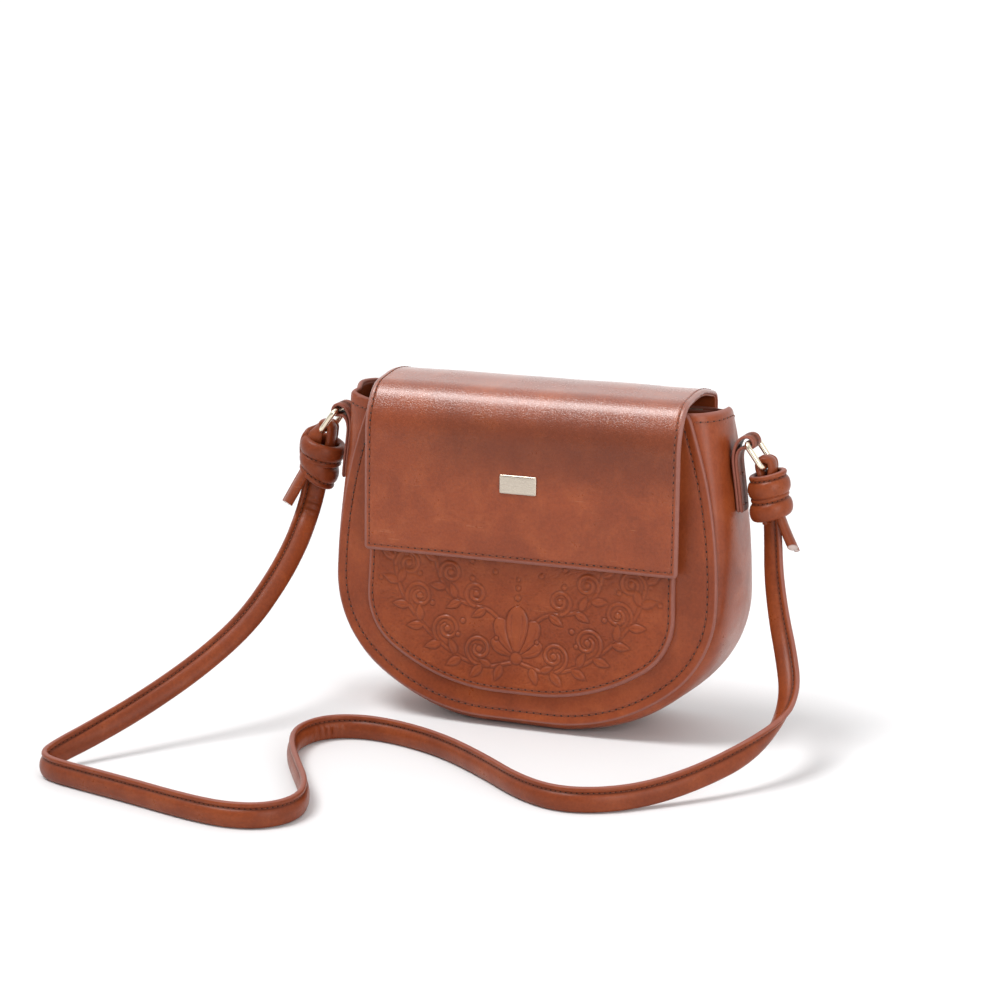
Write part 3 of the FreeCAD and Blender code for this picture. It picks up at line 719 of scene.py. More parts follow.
# Leather by shade, grain, bump, coat, painted shade of cuts and grooves, and gloss; metal by tint, tarnish
# and roughness
MATERIALS = {
    "waxed_body": (leather_material, 0.98, 1500.0, 0.11),
    "waxed_flap": (leather_material, 1.02, 1500.0, 0.2, 0.0, 0.8, 0.45),
    "tooled_pocket": (leather_material, 0.98, 1600.0, 0.12, 0.05, 0.36),
    "padded_strap": (leather_material, 0.8, 1700.0, 0.13, 0.0, 0.8, 0.24),
    "matt_tab": (leather_material, 0.8, 1500.0, 0.12, 0.0, 0.8, 0.08),
    "thread": (thread_material,),
    "lining_cloth": (lining_material,),
    "pale_gold": (metal_material, (0.86, 0.77, 0.61), (0.62, 0.5, 0.34), 0.2),
    "champagne": (metal_material, (0.61, 0.53, 0.44), (0.59, 0.51, 0.42), 0.26),
    "steel": (metal_material, (0.62, 0.6, 0.56), (0.35, 0.33, 0.3), 0.3),
    "stiffening_board": (board_material,),
    "pale_floor": (floor_material,),
}


def material(name):
    """Material of that name, made when it is first asked for."""
    make, *values = MATERIALS[name]
    return bpy.data.materials.get(name) or make(name, *values)


# Floor in millimetres, lights and camera in metres
FLOOR_HALF, FLOOR_LEVEL = 12000.0, -0.05
KEY_PLACE, KEY_AIM, KEY_ANGLE = (-0.36, -0.28, 1.0), (0.0, 0.0, 0.0), math.radians(24.0)
SIDE_PLACE, SIDE_AIM, SIDE_SIZE = (0.95, -0.85, 0.5), (0.0, 0.0, 0.1), 0.7
CAMERA_AZIMUTH, CAMERA_ELEVATION = math.radians(22.0), math.radians(13.0)
CAMERA_TARGET, CAMERA_DISTANCE, CAMERA_SENSOR = (-0.0233, 0.0, 0.1161), 1.601, 36.0
WHITE = (1.0, 1.0, 1.0, 1.0)


class HANDBAG_OT_stage(bpy.types.Operator):
    """Make the pale floor, the white surround, the soft lights and the camera"""
    bl_idname = "handbag.stage"
    bl_label = "Stage"

    def execute(self, context):
        stage = context.scene.handbag_stage
        x, y = np.meshgrid(*[np.linspace(-FLOOR_HALF, FLOOR_HALF, 3)] * 2)
        points = np.stack([x, y, np.full_like(x, FLOOR_LEVEL)], -1).reshape(-1, 3)
        mesh_piece("floor", points, grid_quads(3, 3), "pale_floor")
        self.surround(context.scene, stage)
        key = bpy.data.lights.new("key", "SUN")
        key.energy, key.angle = stage.key, KEY_ANGLE
        side = bpy.data.lights.new("side", "AREA")
        side.energy, side.size = stage.side, SIDE_SIZE
        camera = bpy.data.cameras.new("camera")
        camera.lens, camera.sensor_width = stage.lens, CAMERA_SENSOR
        out = math.cos(CAMERA_ELEVATION)
        eye = np.array(CAMERA_TARGET) + CAMERA_DISTANCE * np.array((
            math.sin(CAMERA_AZIMUTH) * out, -math.cos(CAMERA_AZIMUTH) * out, math.sin(CAMERA_ELEVATION)))
        for data, place, aim in ((key, KEY_PLACE, KEY_AIM), (side, SIDE_PLACE, SIDE_AIM),
                                 (camera, eye, CAMERA_TARGET)):
            obj = bpy.data.objects.new(data.name, data)
            obj.location = place
            gaze = Vector(aim) - Vector(place)
            obj.rotation_euler = gaze.to_track_quat("-Z", "Y").to_euler()
            context.scene.collection.objects.link(obj)
        context.scene.camera = obj
        context.scene.view_settings.view_transform = "Standard"
        return {"FINISHED"}

    def surround(self, scene, stage):
        """White world, dimmer before the bag than behind it."""
        world = bpy.data.worlds.new("white_surround")
        world.use_nodes = True
        sky = world.node_tree
        sight = add_node(sky, "ShaderNodeTexCoord").outputs["Generated"]
        depth = add_node(sky, "ShaderNodeSeparateXYZ", {0: sight}).outputs["Y"]
        backdrop = sky.nodes["Background"]
        socket_link(sky, backdrop, "Color", WHITE)
        socket_link(sky, backdrop, "Strength", ranged(sky, depth, -0.7, 0.7, stage.front, stage.back))
        scene.world = world


def strap_profile():
    """Closed section of the strap: a padded oval, a sewn groove and a flat edge.

    Also its fields, and the place of its seam across and out of the strap.
    """
    strap = bpy.context.scene.handbag_strap
    half, thick = strap.width / MM / 2, strap.thick / MM / 2
    seam = 0.5 * half
    turn = np.linspace(math.pi, 0.12 * math.pi, 15)
    oval = np.stack([(seam - half) / 2 + (seam + half) / 2 * np.cos(turn),
                     thick * np.sin(turn) ** 0.85], -1)
    oval[0, 1] = 0
    flange = np.array(((0.51, 0.26), (0.56, 0.26), (0.63, 0.44), (0.74, 0.56), (0.86, 0.52),
                       (0.95, 0.38), (1.0, 0.14))) * (half, thick)
    upper = np.concatenate([oval, flange])
    profile = np.concatenate([upper, upper[:0:-1] * (1, -1), upper[:1]])
    # Painted shade: the relief field darkens the sewn groove
    fields = {"edge": smooth_step(0.9 * half, 0.98 * half, profile[:, 0]),
              "relief": bell(profile[:, 0], seam, 0.07 * half)}
    return profile, fields, seam + 0.035 * half, 0.3 * thick


def route_line():
    """Points of the strap's middle line, from a NURBS curve with the route as control points."""
    curve = bpy.data.curves.new("strap_route", "CURVE")
    curve.dimensions = "3D"
    curve.resolution_u = 16
    spline = curve.splines.new("NURBS")
    spline.points.add(len(STRAP_ROUTE) - 1)
    spline.points.foreach_set("co", raised_line(STRAP_ROUTE, 1.0).ravel())
    spline.order_u = 3
    spline.use_endpoint_u = True
    holder = bpy.data.objects.new("strap_route", curve)
    bpy.context.scene.collection.objects.link(holder)
    bpy.context.view_layer.update()
    mesh = bpy.data.meshes.new_from_object(holder)
    line = np.empty(len(mesh.vertices) * 3)
    mesh.vertices.foreach_get("co", line)
    bpy.data.objects.remove(holder)
    bpy.data.curves.remove(curve)
    bpy.data.meshes.remove(mesh)
    return line.reshape(-1, 3) / MM


# Directions of the strap's width at six stops up to its first cut and five from its second
STRAP_AXES = np.array((
    (-1, -0.5, 0.2), (-1, -0.5, 0.3), (-0.7, 0.3, 0.8), (-0.3, 0.3, 1), (0, 0, 1), (0, 0, 1),
    (0, 0, 1), (0, 0, 1), (0.7, 0.2, 0.8), (1, -0.5, 0.3), (0.8, -0.65, 0.1)))
FINE_SEWING = 0.7

# Folds of the strap: curvatures where they start and are full, pitch, its drift, and height
FOLD_START, FOLD_FULL, FOLD_PITCH, FOLD_DRIFT, FOLD_HEIGHT = 0.024, 0.05, 4.1, (1.5, 7.3), 0.24


class HANDBAG_OT_strap(bpy.types.Operator):
    """Make the padded strap in its two drops and its run over the floor"""
    bl_idname = "handbag.strap"
    bl_label = "Strap"

    def execute(self, context):
        line = route_line()
        total = line_lengths(line)[-1]
        line = evened(line, int(total / STRAP_STEP))
        at = line_lengths(line)
        first, last = (int(np.argmin(np.linalg.norm(line - cut / MM, axis=1))) for cut in STRAP_CUTS)
        wide = looked_up(at, (0, 45, 110, 200, at[first] - 25, at[first], at[last], at[last] + 60,
                              total - 110, total - 40, total), STRAP_AXES)
        profile, fields, seam, seam_rise = strap_profile()
        _, width, thick = sweep_rows(line, wide, profile)
        forms = self.folded(line, at, thick, profile)
        left = ("left_ring_body", line[first], line[0])
        right = ("right_ring_body", line[last], line[-1])
        for name, part, exit_point, ring in (
                ("strap_left_drop", slice(0, first + 1), line[0], left),
                ("strap_floor_run", slice(first, last + 1), line[first], None),
                ("strap_right_drop", slice(last, len(line)), line[-1], right)):
            grid, _, _ = sweep_rows(line[part], wide[part], forms[part])
            obj = grid_piece(name + "_leather", [(grid, fields)], "padded_strap",
                             (name,))
            for label, face in (("a", 1), ("b", -1)):
                path = line[part] + seam * width[part] + face * seam_rise * thick[part]
                self.carry(stitch_row("%s_stitches_%s" % (name, label), path, face * thick[part],
                                      fine=FINE_SEWING), ring)
            self.carry(obj, ring)
        return {"FINISHED"}

    def folded(self, line, at, thick, profile):
        """Section at each point of the strap, with small folds on the inside of its tight bends."""
        bend = np.gradient(unit(np.gradient(line, axis=0)), axis=0) / np.gradient(at)[:, None]
        fold = smooth_step(FOLD_START, FOLD_FULL, np.linalg.norm(bend, axis=1))[:, None]
        drift = FOLD_DRIFT[0] * np.sin(at / FOLD_DRIFT[1])
        ripple = fold * np.sin(2 * math.pi * at / FOLD_PITCH + drift)[:, None]
        inside = np.sign(np.sum(bend * thick, 1))[:, None]
        forms = np.repeat(profile[None], len(line), 0)
        forms[..., 1] *= 1 + FOLD_HEIGHT * ripple * np.clip(profile[None, :, 1] * inside / 2.6, 0, 1)
        return forms

    def carry(self, obj, ring):
        """A drop is baked where it stands, its transform put into its mesh; the floor run stays with the
        bag.
        """
        if ring:
            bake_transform(obj)
        else:
            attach(obj, "bag")


def bulge_at(share):
    """How far the gusset stands out at a share of its depth: half an ellipse."""
    return np.sqrt(np.clip(1 - (2 * share - 1) ** 2, 0, 1))


def drop_at(share):
    """How far the base hangs down at a share of the depth: flat, falling off at its ends."""
    return 1 - np.abs(2 * share - 1) ** 10


def rim_lift(share):
    """Rise of the gusset's right rim: most at the front, falling off to nothing at the back."""
    return (CORNER_LIFT - 1.2 * share) * smooth_step(1.0, 0.6, share)


def left_lift(share):
    """Rise of the gusset's left rim: most behind the middle, nothing at both ends."""
    return 4.5 * smooth_step(0.04, 0.46, share) * smooth_step(1.0, 0.7, share)


def mouth_swell(share, height):
    """How far the mouth's left side is pressed out before its tab, and flares along its rim."""
    return (7.0 * bell(share, 0.14, 0.09) * smooth_step(138.0, 172.0, height)
            + 4.0 * bell(share, 0.42, 0.28) * smooth_step(157.0, 171.0, height))


def corner_lift(x):
    """Rise of the front's upper edge: nothing in the middle, most at the right corner."""
    return CORNER_LIFT * smooth_step(58.0, 88.0, x)


def on_drawn_front(rows):
    """Rows set on the front plane, with its right upper corner drawn up and in."""
    lift = corner_lift(rows[..., 0]) * smooth_step(RIM - 32.0, RIM - 1.0, rows[..., 1])
    return on_front(rows + np.stack([-CORNER_SLOPE * lift, lift, 0 * lift], -1))


# Edges of the panels and their lining from back to face, as (inset, out); points along their tops
PANEL_EDGE = ((0.9, 0.0), (0.2, 0.05), (-0.05, 0.4), (-0.1, 1.0), (-0.02, 1.6), (0.25, 2.02),
              (0.8, 2.24), (1.5, 2.3), (2.2, 2.22), (3.2, 2.08), (4.2, 2.02), (4.6, 1.86), (5.0, 1.72),
              (5.4, 1.86), (5.8, 2.02), (7, 2.1), (9, 2.12), (12, 2.14), (16, 2.15))
LINING_EDGE = ((1.0, 0.0), (0.3, 0.05), (0.0, 0.35), (0.3, 0.65), (1.0, 0.7), (4, 0.7), (9, 0.7),
               (16, 0.7))
PANEL_CENTRE, PANEL_RINGS, LINING_CENTRE, LINING_RINGS = (0.0, 84.0), 24, (0.0, 78.0), 22
TOP_STEPS = 120


class HANDBAG_OT_panels(bpy.types.Operator):
    """Make the front and back panels with a lipped edge and a sewn groove"""
    bl_idname = "handbag.panels"
    bl_label = "Panels"

    def execute(self, context):
        insets = np.array([inset for inset, out in PANEL_EDGE])
        # Painted shade: the relief field darkens the sewn groove
        fields = {"edge": smooth_step(1.5, 0.3, insets), "relief": 0.3 * bell(insets, PANEL_SEAM, 0.35)}
        fields = {key: np.concatenate([[0], values, np.zeros(PANEL_RINGS)])[:, None]
                  for key, values in fields.items()}
        seam = raised_line(mirrored(body_half(PANEL_SEAM, top=RIM - 2.0)), 1.9)
        for name, place, seed in (("front_panel", on_drawn_front, 3), ("back_panel", on_back, 4)):
            rows = ring_rows(lambda inset: closed(body_half(inset, top=RIM - inset), TOP_STEPS),
                             PANEL_EDGE, PANEL_CENTRE, PANEL_RINGS, 0.25)
            x, v, out = rows[..., 0], rows[..., 1], rows[..., 2]
            swell = smooth_step(6, 20, RIM - v) * smooth_step(2.1, 2.14, out)
            rows[..., 2] += 0.14 * swell * waves(x, v, 55.0, seed)
            grid_piece(name + "_leather", [(place(rows), fields)], "waxed_body",
                       (name,), "bag")
            sew_on(name + "_stitches", place, seam)
        return {"FINISHED"}


# Rounded rim of the gusset as (in, down) in shares of its thickness, and the thickness rolled in it
GUSSET_RIM = ((0.0, 0.5), (0.2, 0.16), (0.5, 0.0), (0.8, 0.16), (1.0, 0.5))
GUSSET_ROLL, GUSSET_TUCK, GUSSET_ROWS = 1.2, 1.7, 28

# Creases by the tabs as (share of the depth, height, size), with their slope, width and length
GUSSET_CREASES = ((0.42, 149.0, 1.1), (0.6, 157.0, 0.8), (0.3, 141.0, 0.6))
CREASE_SLOPE, CREASE_WIDTH, CREASE_LENGTH = 0.006, 0.05, 9


def gusset_line(inset, share, top, down, creased, lifted):
    """Outline of the gusset at a share of the depth, moved along its normals.

    Soft waves move it both ways, creases in, and the swell of the mouth's left side out.
    """
    bulge, drop = float(bulge_at(share)), float(drop_at(share))
    line = mirrored(*(body_half(inset, bulge, drop, top + lifted * lift(share) - down)
                      for lift in (rim_lift, left_lift)))
    out = unit(np.gradient(line, axis=0))[:, ::-1] * (1, -1)
    run = line_lengths(line)
    dent = 0.28 * waves(run, np.full_like(run, share * 60), 42.0, 11)
    for middle, height, size in GUSSET_CREASES:
        above = line[:, 1] - height
        slant = share - middle - above * CREASE_SLOPE
        dent = dent - size * np.exp(-((slant / CREASE_WIDTH) ** 2) - (above / CREASE_LENGTH) ** 2)
    dent = dent + lifted * mouth_swell(share, line[:, 1]) * (line[:, 0] < 0)
    return line + out * (creased * bulge * dent)[:, None]


def gusset_grid(inset, thick, top, end=0.0, tuck=0.0, creased=1.0, lifted=0.0):
    """Closed strip round the sides and base, with close rows near the front and the back.

    Each row is an outer line, a rounded rim, an inner line and a rim; the first and last close it.
    """
    shares = end + (1 - end - end) * (1 - np.cos(np.linspace(0, math.pi, GUSSET_ROWS))) / 2
    rows = []
    for index, share in enumerate(np.concatenate([shares[:1], shares, shares[-1:]])):
        ended = index in (0, GUSSET_ROWS + 1)
        tucked = inset + tuck * (1 - float(bulge_at(share))) ** 2
        outer, *rim, inner = (
            gusset_line(tucked + thick * (0.5 if ended else depth), share, top, thick * down,
                        creased, lifted) for depth, down in GUSSET_RIM)
        left, right = (np.array([line[k] for line in rim]) for k in (0, -1))
        loop = np.concatenate([outer, right, inner[::-1], left[::-1], outer[:1]])
        rows.append(at_depth(loop[:, 0], loop[:, 1], share))
    return np.stack(rows)


class HANDBAG_OT_gusset(bpy.types.Operator):
    """Make the convex gusset with a rolled rim and a row of stitches below it"""
    bl_idname = "handbag.gusset"
    bl_label = "Gusset"

    def execute(self, context):
        grid = gusset_grid(0.0, GUSSET_THICK + GUSSET_ROLL, RIM, tuck=GUSSET_TUCK, lifted=1.0)
        columns = grid.shape[1]
        half = (columns - 7) // 2
        index = np.arange(columns)
        rim = bell(index, half + 1, 2.2) + bell(index, columns - 3, 2.2)
        depth = np.linalg.norm(grid[:, 0] - grid[0, 0], axis=1)
        # Painted shade: a dark line along the front and back rims, in the crevice under the panels' edges
        seam = 0.85 * bell(np.minimum(depth, depth[-1] - depth), 0.0, 0.9)
        fields = {"edge": np.clip(rim, 0, 1), "relief": seam[:, None]}
        grid_piece("gusset_leather", [(grid, fields)], "waxed_body", ("gusset",), "bag")
        for (name, sign), near in zip(SIDES, ((half - 2, half - 3, half - 4), (2, 3, 4))):
            above, path, below = (grid[2:-2, column] for column in near)
            normals = sign * np.cross(np.gradient(path, axis=0), above - below)
            stitch_row("gusset_%s_stitches" % name, path, unit(normals), "bag")
        return {"FINISHED"}


# Facing of the mouth from its foot over its rim and back, as (inset, height, edge paint)
FACING_WALL = ((2.0, 148.0, 0), (2.0, 158.0, 0), (2.0, 167.6, 0.2), (2.25, 168.6, 1), (2.6, 168.9, 1),
               (3.0, 168.6, 1), (3.2, 167.6, 0.2), (3.2, 158.0, 0), (3.2, 148.2, 0), (2.6, 147.9, 0),
               (2.0, 148.0, 0))
FACING_SEAM = raised_line(np.stack([np.linspace(-80, 80, 120), np.full(120, 164.0)], -1), -3.3)


def facing_row(inset, height):
    """Ring round the mouth at one inset: along the front, the right side, the back and the left.

    It rises and swells with the rims, by its share of the facing's height.
    """
    near = inset / MOUTH_DEPTH
    side = np.linspace(near, 1 - near, 33)
    flat = np.linspace(-1, 1, 61)[1:-1]
    share = (height - FACING_LOW) / (FACING_HIGH - FACING_LOW)
    bulge = bulge_at(side)
    lift, rise = share * rim_lift(side), share * left_lift(side)
    right = side_x(height + lift, bulge, inset)
    left = side_x(height + rise, bulge, inset) + bulge * mouth_swell(side, height + rise)
    front = share * corner_lift(flat * right[0])
    near_x, far_x = (np.interp(flat, (-1, 1), (-left[end], right[end])) for end in (0, -1))
    x = np.concatenate([near_x, right, far_x[::-1], -left[::-1], near_x[:1]])
    depth = np.concatenate([np.full_like(flat, near), side, np.full_like(flat, 1 - near), side[::-1],
                            [near]])
    rim = np.concatenate([front, lift, np.zeros_like(flat), rise[::-1], front[:1]])
    return at_depth(x, height + rim, depth)


class HANDBAG_OT_inside(bpy.types.Operator):
    """Make the cloth lining and the leather facing round the mouth"""
    bl_idname = "handbag.inside"
    bl_label = "Inside"

    def execute(self, context):
        for name, place, seed in (("front", on_front, 21), ("back", on_back, 22)):
            rows = ring_rows(
                lambda inset: closed(body_half(LINING_INSET + inset, top=LINING_TOP - inset), TOP_STEPS),
                LINING_EDGE, LINING_CENTRE, LINING_RINGS)
            x, v, out = rows[..., 0], rows[..., 1], rows[..., 2]
            sag = smooth_step(0.0, 30.0, LINING_TOP - v) * (out > LINING_THICK - 0.02)
            rows[..., 2] = -(LINING_BEHIND + (out + 0.45 * sag * (1 + waves(x, v, 38.0, seed))))
            grid_piece("lining_%s_cloth" % name, [(place(rows), PLAIN)], "lining_cloth",
                       ("lining_" + name,), "bag")
        grid = gusset_grid(LINING_INSET, LINING_THICK, LINING_TOP, end=0.055, creased=0.6)
        grid_piece("lining_gusset_cloth", [(grid, PLAIN)], "lining_cloth", ("lining_gusset",),
                   "bag")
        grid = np.stack([facing_row(inset, height) for inset, height, paint in FACING_WALL])
        fields = {"edge": np.array([[paint] for inset, height, paint in FACING_WALL])}
        grid_piece("mouth_facing_leather", [(grid, fields)], "waxed_body",
                   ("mouth_facing",), "bag")
        for name, place in (("front", on_front), ("back", on_back)):
            sew_on("mouth_%s_stitches" % name, place, FACING_SEAM, up=-1)
        return {"FINISHED"}


# Right half of the pocket's pattern: two vines, scrolls (vine, share of its length, radius),
# leaves (vine, shares, turn, length), petals (heading, length, width) and dots (x, height, radius)
STEM, CUT = 1.05, 0.45
VINES = (
    through(((3, 38), (15, 35.2), (28, 37.6), (41, 45), (52, 55), (60.5, 66.5), (65, 80), (66, 94)), 160),
    through(((7, 57), (15, 63), (25, 64.8), (34, 68.2), (40, 75.4), (43, 84), (44, 95)), 130))
SCROLLS = ((0, 0.21, 7.8), (0, 0.44, 8.0), (0, 0.67, 7.6), (0, 0.88, 7.2), (1, 0.3, 6.2), (1, 0.72, 6.0))
LEAVES = ((0, (0.06, 0.18, 0.3, 0.42, 0.54, 0.66, 0.78, 0.9), 52, 9.5), (0, (0.33, 0.56, 0.78), -38, 9.0),
          (1, (0.2, 0.42, 0.6, 0.86), 48, 9.0), (1, (0.47, 0.9), -40, 8.5), (0, (0.12,), -30, 7.5))
PETALS, BUD = ((62, 15, 8), (30, 21, 10), (0, 25, 12)), (0, 41.5)
DOTS = ((0, 70.5, 1.7), (0, 75.4, 1.4), (0, 79.6, 1.1), (28.5, 56.5, 1.5), (45, 63.8, 1.4),
        (10.5, 49.5, 1.3), (24, 78, 1.5), (12, 82.5, 1.4), (24.5, 87, 1.5), (7, 90, 1.4), (52, 78, 1.3),
        (31, 49.5, 1.3), (73, 74, 1.3))
BUD_FOOT, SCROLL_DOT, SCROLL_TURNS, SCROLL_EYE = (0, 40.5, 3.2), 1.8, 1.3, 2.3
PATTERN_SCALE, PATTERN_MIDDLE = 1.08, 62


def leaf_relief(x, v, base, heading, length, width, petal=False):
    """Relief of a leaf or petal about its own axis: a cut outline, a swollen blade and cut veins.

    A leaf is half a sine, pointed at its tip; a petal is widest near its round tip and has an
    echo line in place of veins.
    """
    turn = math.radians(heading)
    along = ((x - base[0]) * math.sin(turn) + (v - base[1]) * math.cos(turn)) / length
    across = np.abs((x - base[0]) * math.cos(turn) - (v - base[1]) * math.sin(turn))
    inside = np.clip(along, 0, 1)
    power, round_off = (1.5, 0.5) if petal else (0.75, 0.9)
    half = width / 2 * np.sin(math.pi * inside**power) ** round_off
    past = np.maximum(across - half, 0) + np.abs(along - inside) * length
    solid = past <= 0
    cut = bell(past + np.where(solid, half - across, 0), 0.0, 0.5)
    if petal:
        inner = bell(across, 0.5 * half, CUT) * (np.abs(inside - 0.5) < 0.32)
    else:
        ribs = bell((along * length - 0.9 * across) % 2.6, 1.3, CUT) * (across < half - 0.7)
        inner = np.maximum(bell(across, 0.0, 0.42), 0.55 * ribs) * (np.abs(inside - 0.46) < 0.4)
    return np.maximum(cut, 0.65 * inner * solid), solid * np.clip((half - across) / 1.3, 0, 1), solid


def vine_relief(x, v, line):
    """Relief of a stem by the distance to a line of points: two cut sides and a raised middle."""
    near = np.full(x.shape, 99.0)
    for start in range(0, len(line), 24):
        part = line[start:start + 24]
        gaps = np.hypot(x[..., None] - part[:, 0], v[..., None] - part[:, 1])
        near = np.minimum(near, gaps.min(-1))
    return bell(near, STEM, CUT), bell(near, 0.0, 0.7), near < STEM


def vine_stop(vine, share):
    """Place and direction of a vine at a share of its length."""
    k = int(share * (len(vine) - 1))
    ahead = vine[min(k + 2, len(vine) - 1)] - vine[max(k - 2, 0)]
    return vine[k], ahead / np.hypot(*ahead)


def scroll(vine, share, radius):
    """Branch that leaves a vine and winds inwards on its left, and its centre.

    Its radius falls to that of the scroll's eye as it turns, a little faster at first.
    """
    place, ahead = vine_stop(vine, share)
    centre = place + radius * np.array((-ahead[1], ahead[0]))
    run = np.linspace(0, 1, 130)
    start = math.atan2(place[1] - centre[1], place[0] - centre[0])
    angle = start + 2 * math.pi * SCROLL_TURNS * run
    out = radius + (SCROLL_EYE - radius) * run**0.85
    return np.stack([centre[0] + out * np.cos(angle), centre[1] + out * np.sin(angle)], -1), centre


def tooled_relief(x, v):
    """Cut and raised masks of mirrored vines with scrolls, leaves and dots about a standing bud."""
    x, v = np.abs(x) / PATTERN_SCALE, PATTERN_MIDDLE + (v - PATTERN_MIDDLE) / PATTERN_SCALE
    masks = [np.zeros(x.shape), np.zeros(x.shape)]

    def lay(cut, raised, solid):
        """Put one relief over what is already there."""
        masks[0] = np.maximum(masks[0] * ~solid, cut)
        masks[1] = np.maximum(masks[1] * ~solid, raised)

    for line in VINES:
        lay(*vine_relief(x, v, line))
    dots = list(DOTS)
    for vine, share, radius in SCROLLS:
        line, centre = scroll(VINES[vine], share, radius)
        lay(*vine_relief(x, v, line))
        dots.append((*centre, SCROLL_DOT))
    for vine, shares, turn, length in LEAVES:
        for share in shares:
            place, ahead = vine_stop(VINES[vine], share)
            heading = math.degrees(math.atan2(*ahead)) + turn
            lay(*leaf_relief(x, v, place, heading, length, 0.5 * length))
    for heading, length, width in PETALS:
        lay(*leaf_relief(x, v, BUD, heading, length, width, True))
    for cx, cv, size in dots + [BUD_FOOT]:
        gap = np.hypot(x - cx, v - cv)
        lay(bell(gap, size, CUT), np.clip(1 - (gap / size) ** 2, 0, 1), gap < size)
    return masks


# Edge of the pocket from its back to its face, as (inset, out)
POCKET_FACE, POCKET_RINGS, POCKET_CENTRE = PANEL_THICK + POCKET_THICK, 112, (0.0, 72.0)
POCKET_EDGE = ((0.5, 2.0), (0.05, 2.15), (-0.08, 2.8), (0.05, 3.5), (0.45, 4.1), (1.0, 4.42), (1.6, 4.58),
               (2.2, 4.64), (2.65, 4.58), (2.95, 4.36), (3.25, 4.36), (3.55, 4.58), (4.0, 4.64),
               (5.0, POCKET_FACE + 0.05),
               *((inset, POCKET_FACE) for inset in (5.6, 6.2, 6.8, 7.4, 8.0, 8.6)))


class HANDBAG_OT_pocket(bpy.types.Operator):
    """Make the slip pocket, its painted edge and its tooled relief"""
    bl_idname = "handbag.pocket"
    bl_label = "Pocket"

    def execute(self, context):
        rows = ring_rows(lambda inset: closed(pocket_half(inset), 60), POCKET_EDGE, POCKET_CENTRE,
                         POCKET_RINGS, base=PANEL_THICK)
        insets = np.array([0.0] + [inset for inset, out in POCKET_EDGE] + [9.0] * POCKET_RINGS)
        paint = smooth_step(2.0, 1.3, insets)
        paint[0] = 0
        x, v, out = rows[..., 0], rows[..., 1], rows[..., 2]
        cut, raised = tooled_relief(x, v)
        inner = smooth_step(4.6, 6.0, insets)[:, None] * smooth_step(11, 13, np.hypot(x, v - 110))
        inner = inner * smooth_step(102, 98, v)
        stipple = np.clip(waves(x, v, 2.6, 31) * waves(x, v, 3.1, 32), -1, 1)
        pits = np.clip(1.6 * (stipple * (1 - raised) * (1 - cut)) - 0.1, 0, 1)
        rows[..., 2] = out + inner * (0.38 * raised - 0.42 * cut - 0.16 * pits)
        # Painted shade in the cuts and the stippled pits, and a painted highlight on the raised parts
        relief = inner * (cut - 0.75 * raised + 0.4 * pits)
        # Painted shade in the sewn groove
        relief[8:] += 0.45 * bell(insets[8:], POCKET_SEAM, 0.35)[:, None]
        # Painted shade on rows 1 to 3, the foot of the pocket's side wall on the panel, under their edge
        # paint
        relief[1:4] = 1.0
        fields = {"edge": paint[:, None], "relief": relief}
        grid_piece("front_pocket_leather", [(on_front(rows) + POCKET_SHIFT, fields)], "tooled_pocket",
                   ("front_pocket",), "bag")
        seam = raised_line(mirrored(pocket_half(POCKET_SEAM)), 4.5)
        sew_on("pocket_stitches", on_front, seam, shift=POCKET_SHIFT, skip=3.0)
        return {"FINISHED"}


EDGE_STEPS = np.array((0, 0.12, 0.3, 0.6, 1.0, 1.5, 2.0, 2.4, 2.75, 3.0, 3.25, 3.6, 4.4, 6, 8))


def plate_steps(length, step):
    """Places across a plate: close together at both edges, even between."""
    margin = EDGE_STEPS[-1]
    inner = np.linspace(margin, length - margin, max(2, int(round((length - 2 * margin) / step)) + 1))
    return np.concatenate([EDGE_STEPS[:-1], inner, (length - EDGE_STEPS[:-1])[::-1]])


def plate_grid(width, length, step, corner):
    """Grid over a plate with round corners: across, along, and the distance from its edge.

    In each corner square a point keeps its larger distance from the square's middle, on a circle.
    """
    u, s = np.meshgrid(plate_steps(width, step), plate_steps(length, step))
    du, ds = np.minimum(u, width - u), np.minimum(s, length - s)
    a, b = corner - du, corner - ds
    turned = (a > 0) & (b > 0)
    shrink = np.where(turned, np.maximum(a, b) / np.maximum(np.hypot(a, b), 1e-9), 1)
    u = np.where(turned, u + np.where(u < width / 2, 1, -1) * a * (1 - shrink), u)
    s = np.where(turned, s + np.where(s < length / 2, 1, -1) * b * (1 - shrink), s)
    return u, s, np.minimum(du, ds)


def rolled(edge, depths):
    """Depth below a plate's face by the distance from its edge, given at the first edge steps."""
    return np.interp(edge, EDGE_STEPS[:len(depths)], depths)


def rounded_path(points, reach_share):
    """Dense line through corners, each rounded over a share of its shorter side by a parabola."""
    line = [points[0]]
    share = np.linspace(0, 1, 24)[:, None]
    for before, point, after in zip(points, points[1:], points[2:]):
        back, ahead = before - point, after - point
        reach = reach_share * min(np.linalg.norm(back), np.linalg.norm(ahead))
        a, b = point + unit(back) * reach, point + unit(ahead) * reach
        line.extend((1 - share) ** 2 * a + 2 * share * (1 - share) * point + share**2 * b)
    return evened(np.array(line + [points[-1]]), 900)


def flap_line():
    """Outer line of the flap in the YZ plane: front edge, crest, hinge and sewn tail."""
    deep, rise = FLAP_REAR_Y - FLAP_FRONT_Y, FLAP_CREST - FLAP_BOTTOM
    points = [np.array((FLAP_FRONT_Y + deep * d, FLAP_BOTTOM + rise * h)) for d, h in FLAP_SHARES]
    out = PANEL_THICK + FLAP_OUTER + FLAP_LINING
    tail = [on_back(np.array((0.0, HINGE_HEIGHT - down, out)))[1:] for down in (TAIL_TOP, TAIL_HEIGHT)]
    return rounded_path(points + [np.array((FLAP_REAR_Y, HINGE_HEIGHT))] + tail, 0.45)


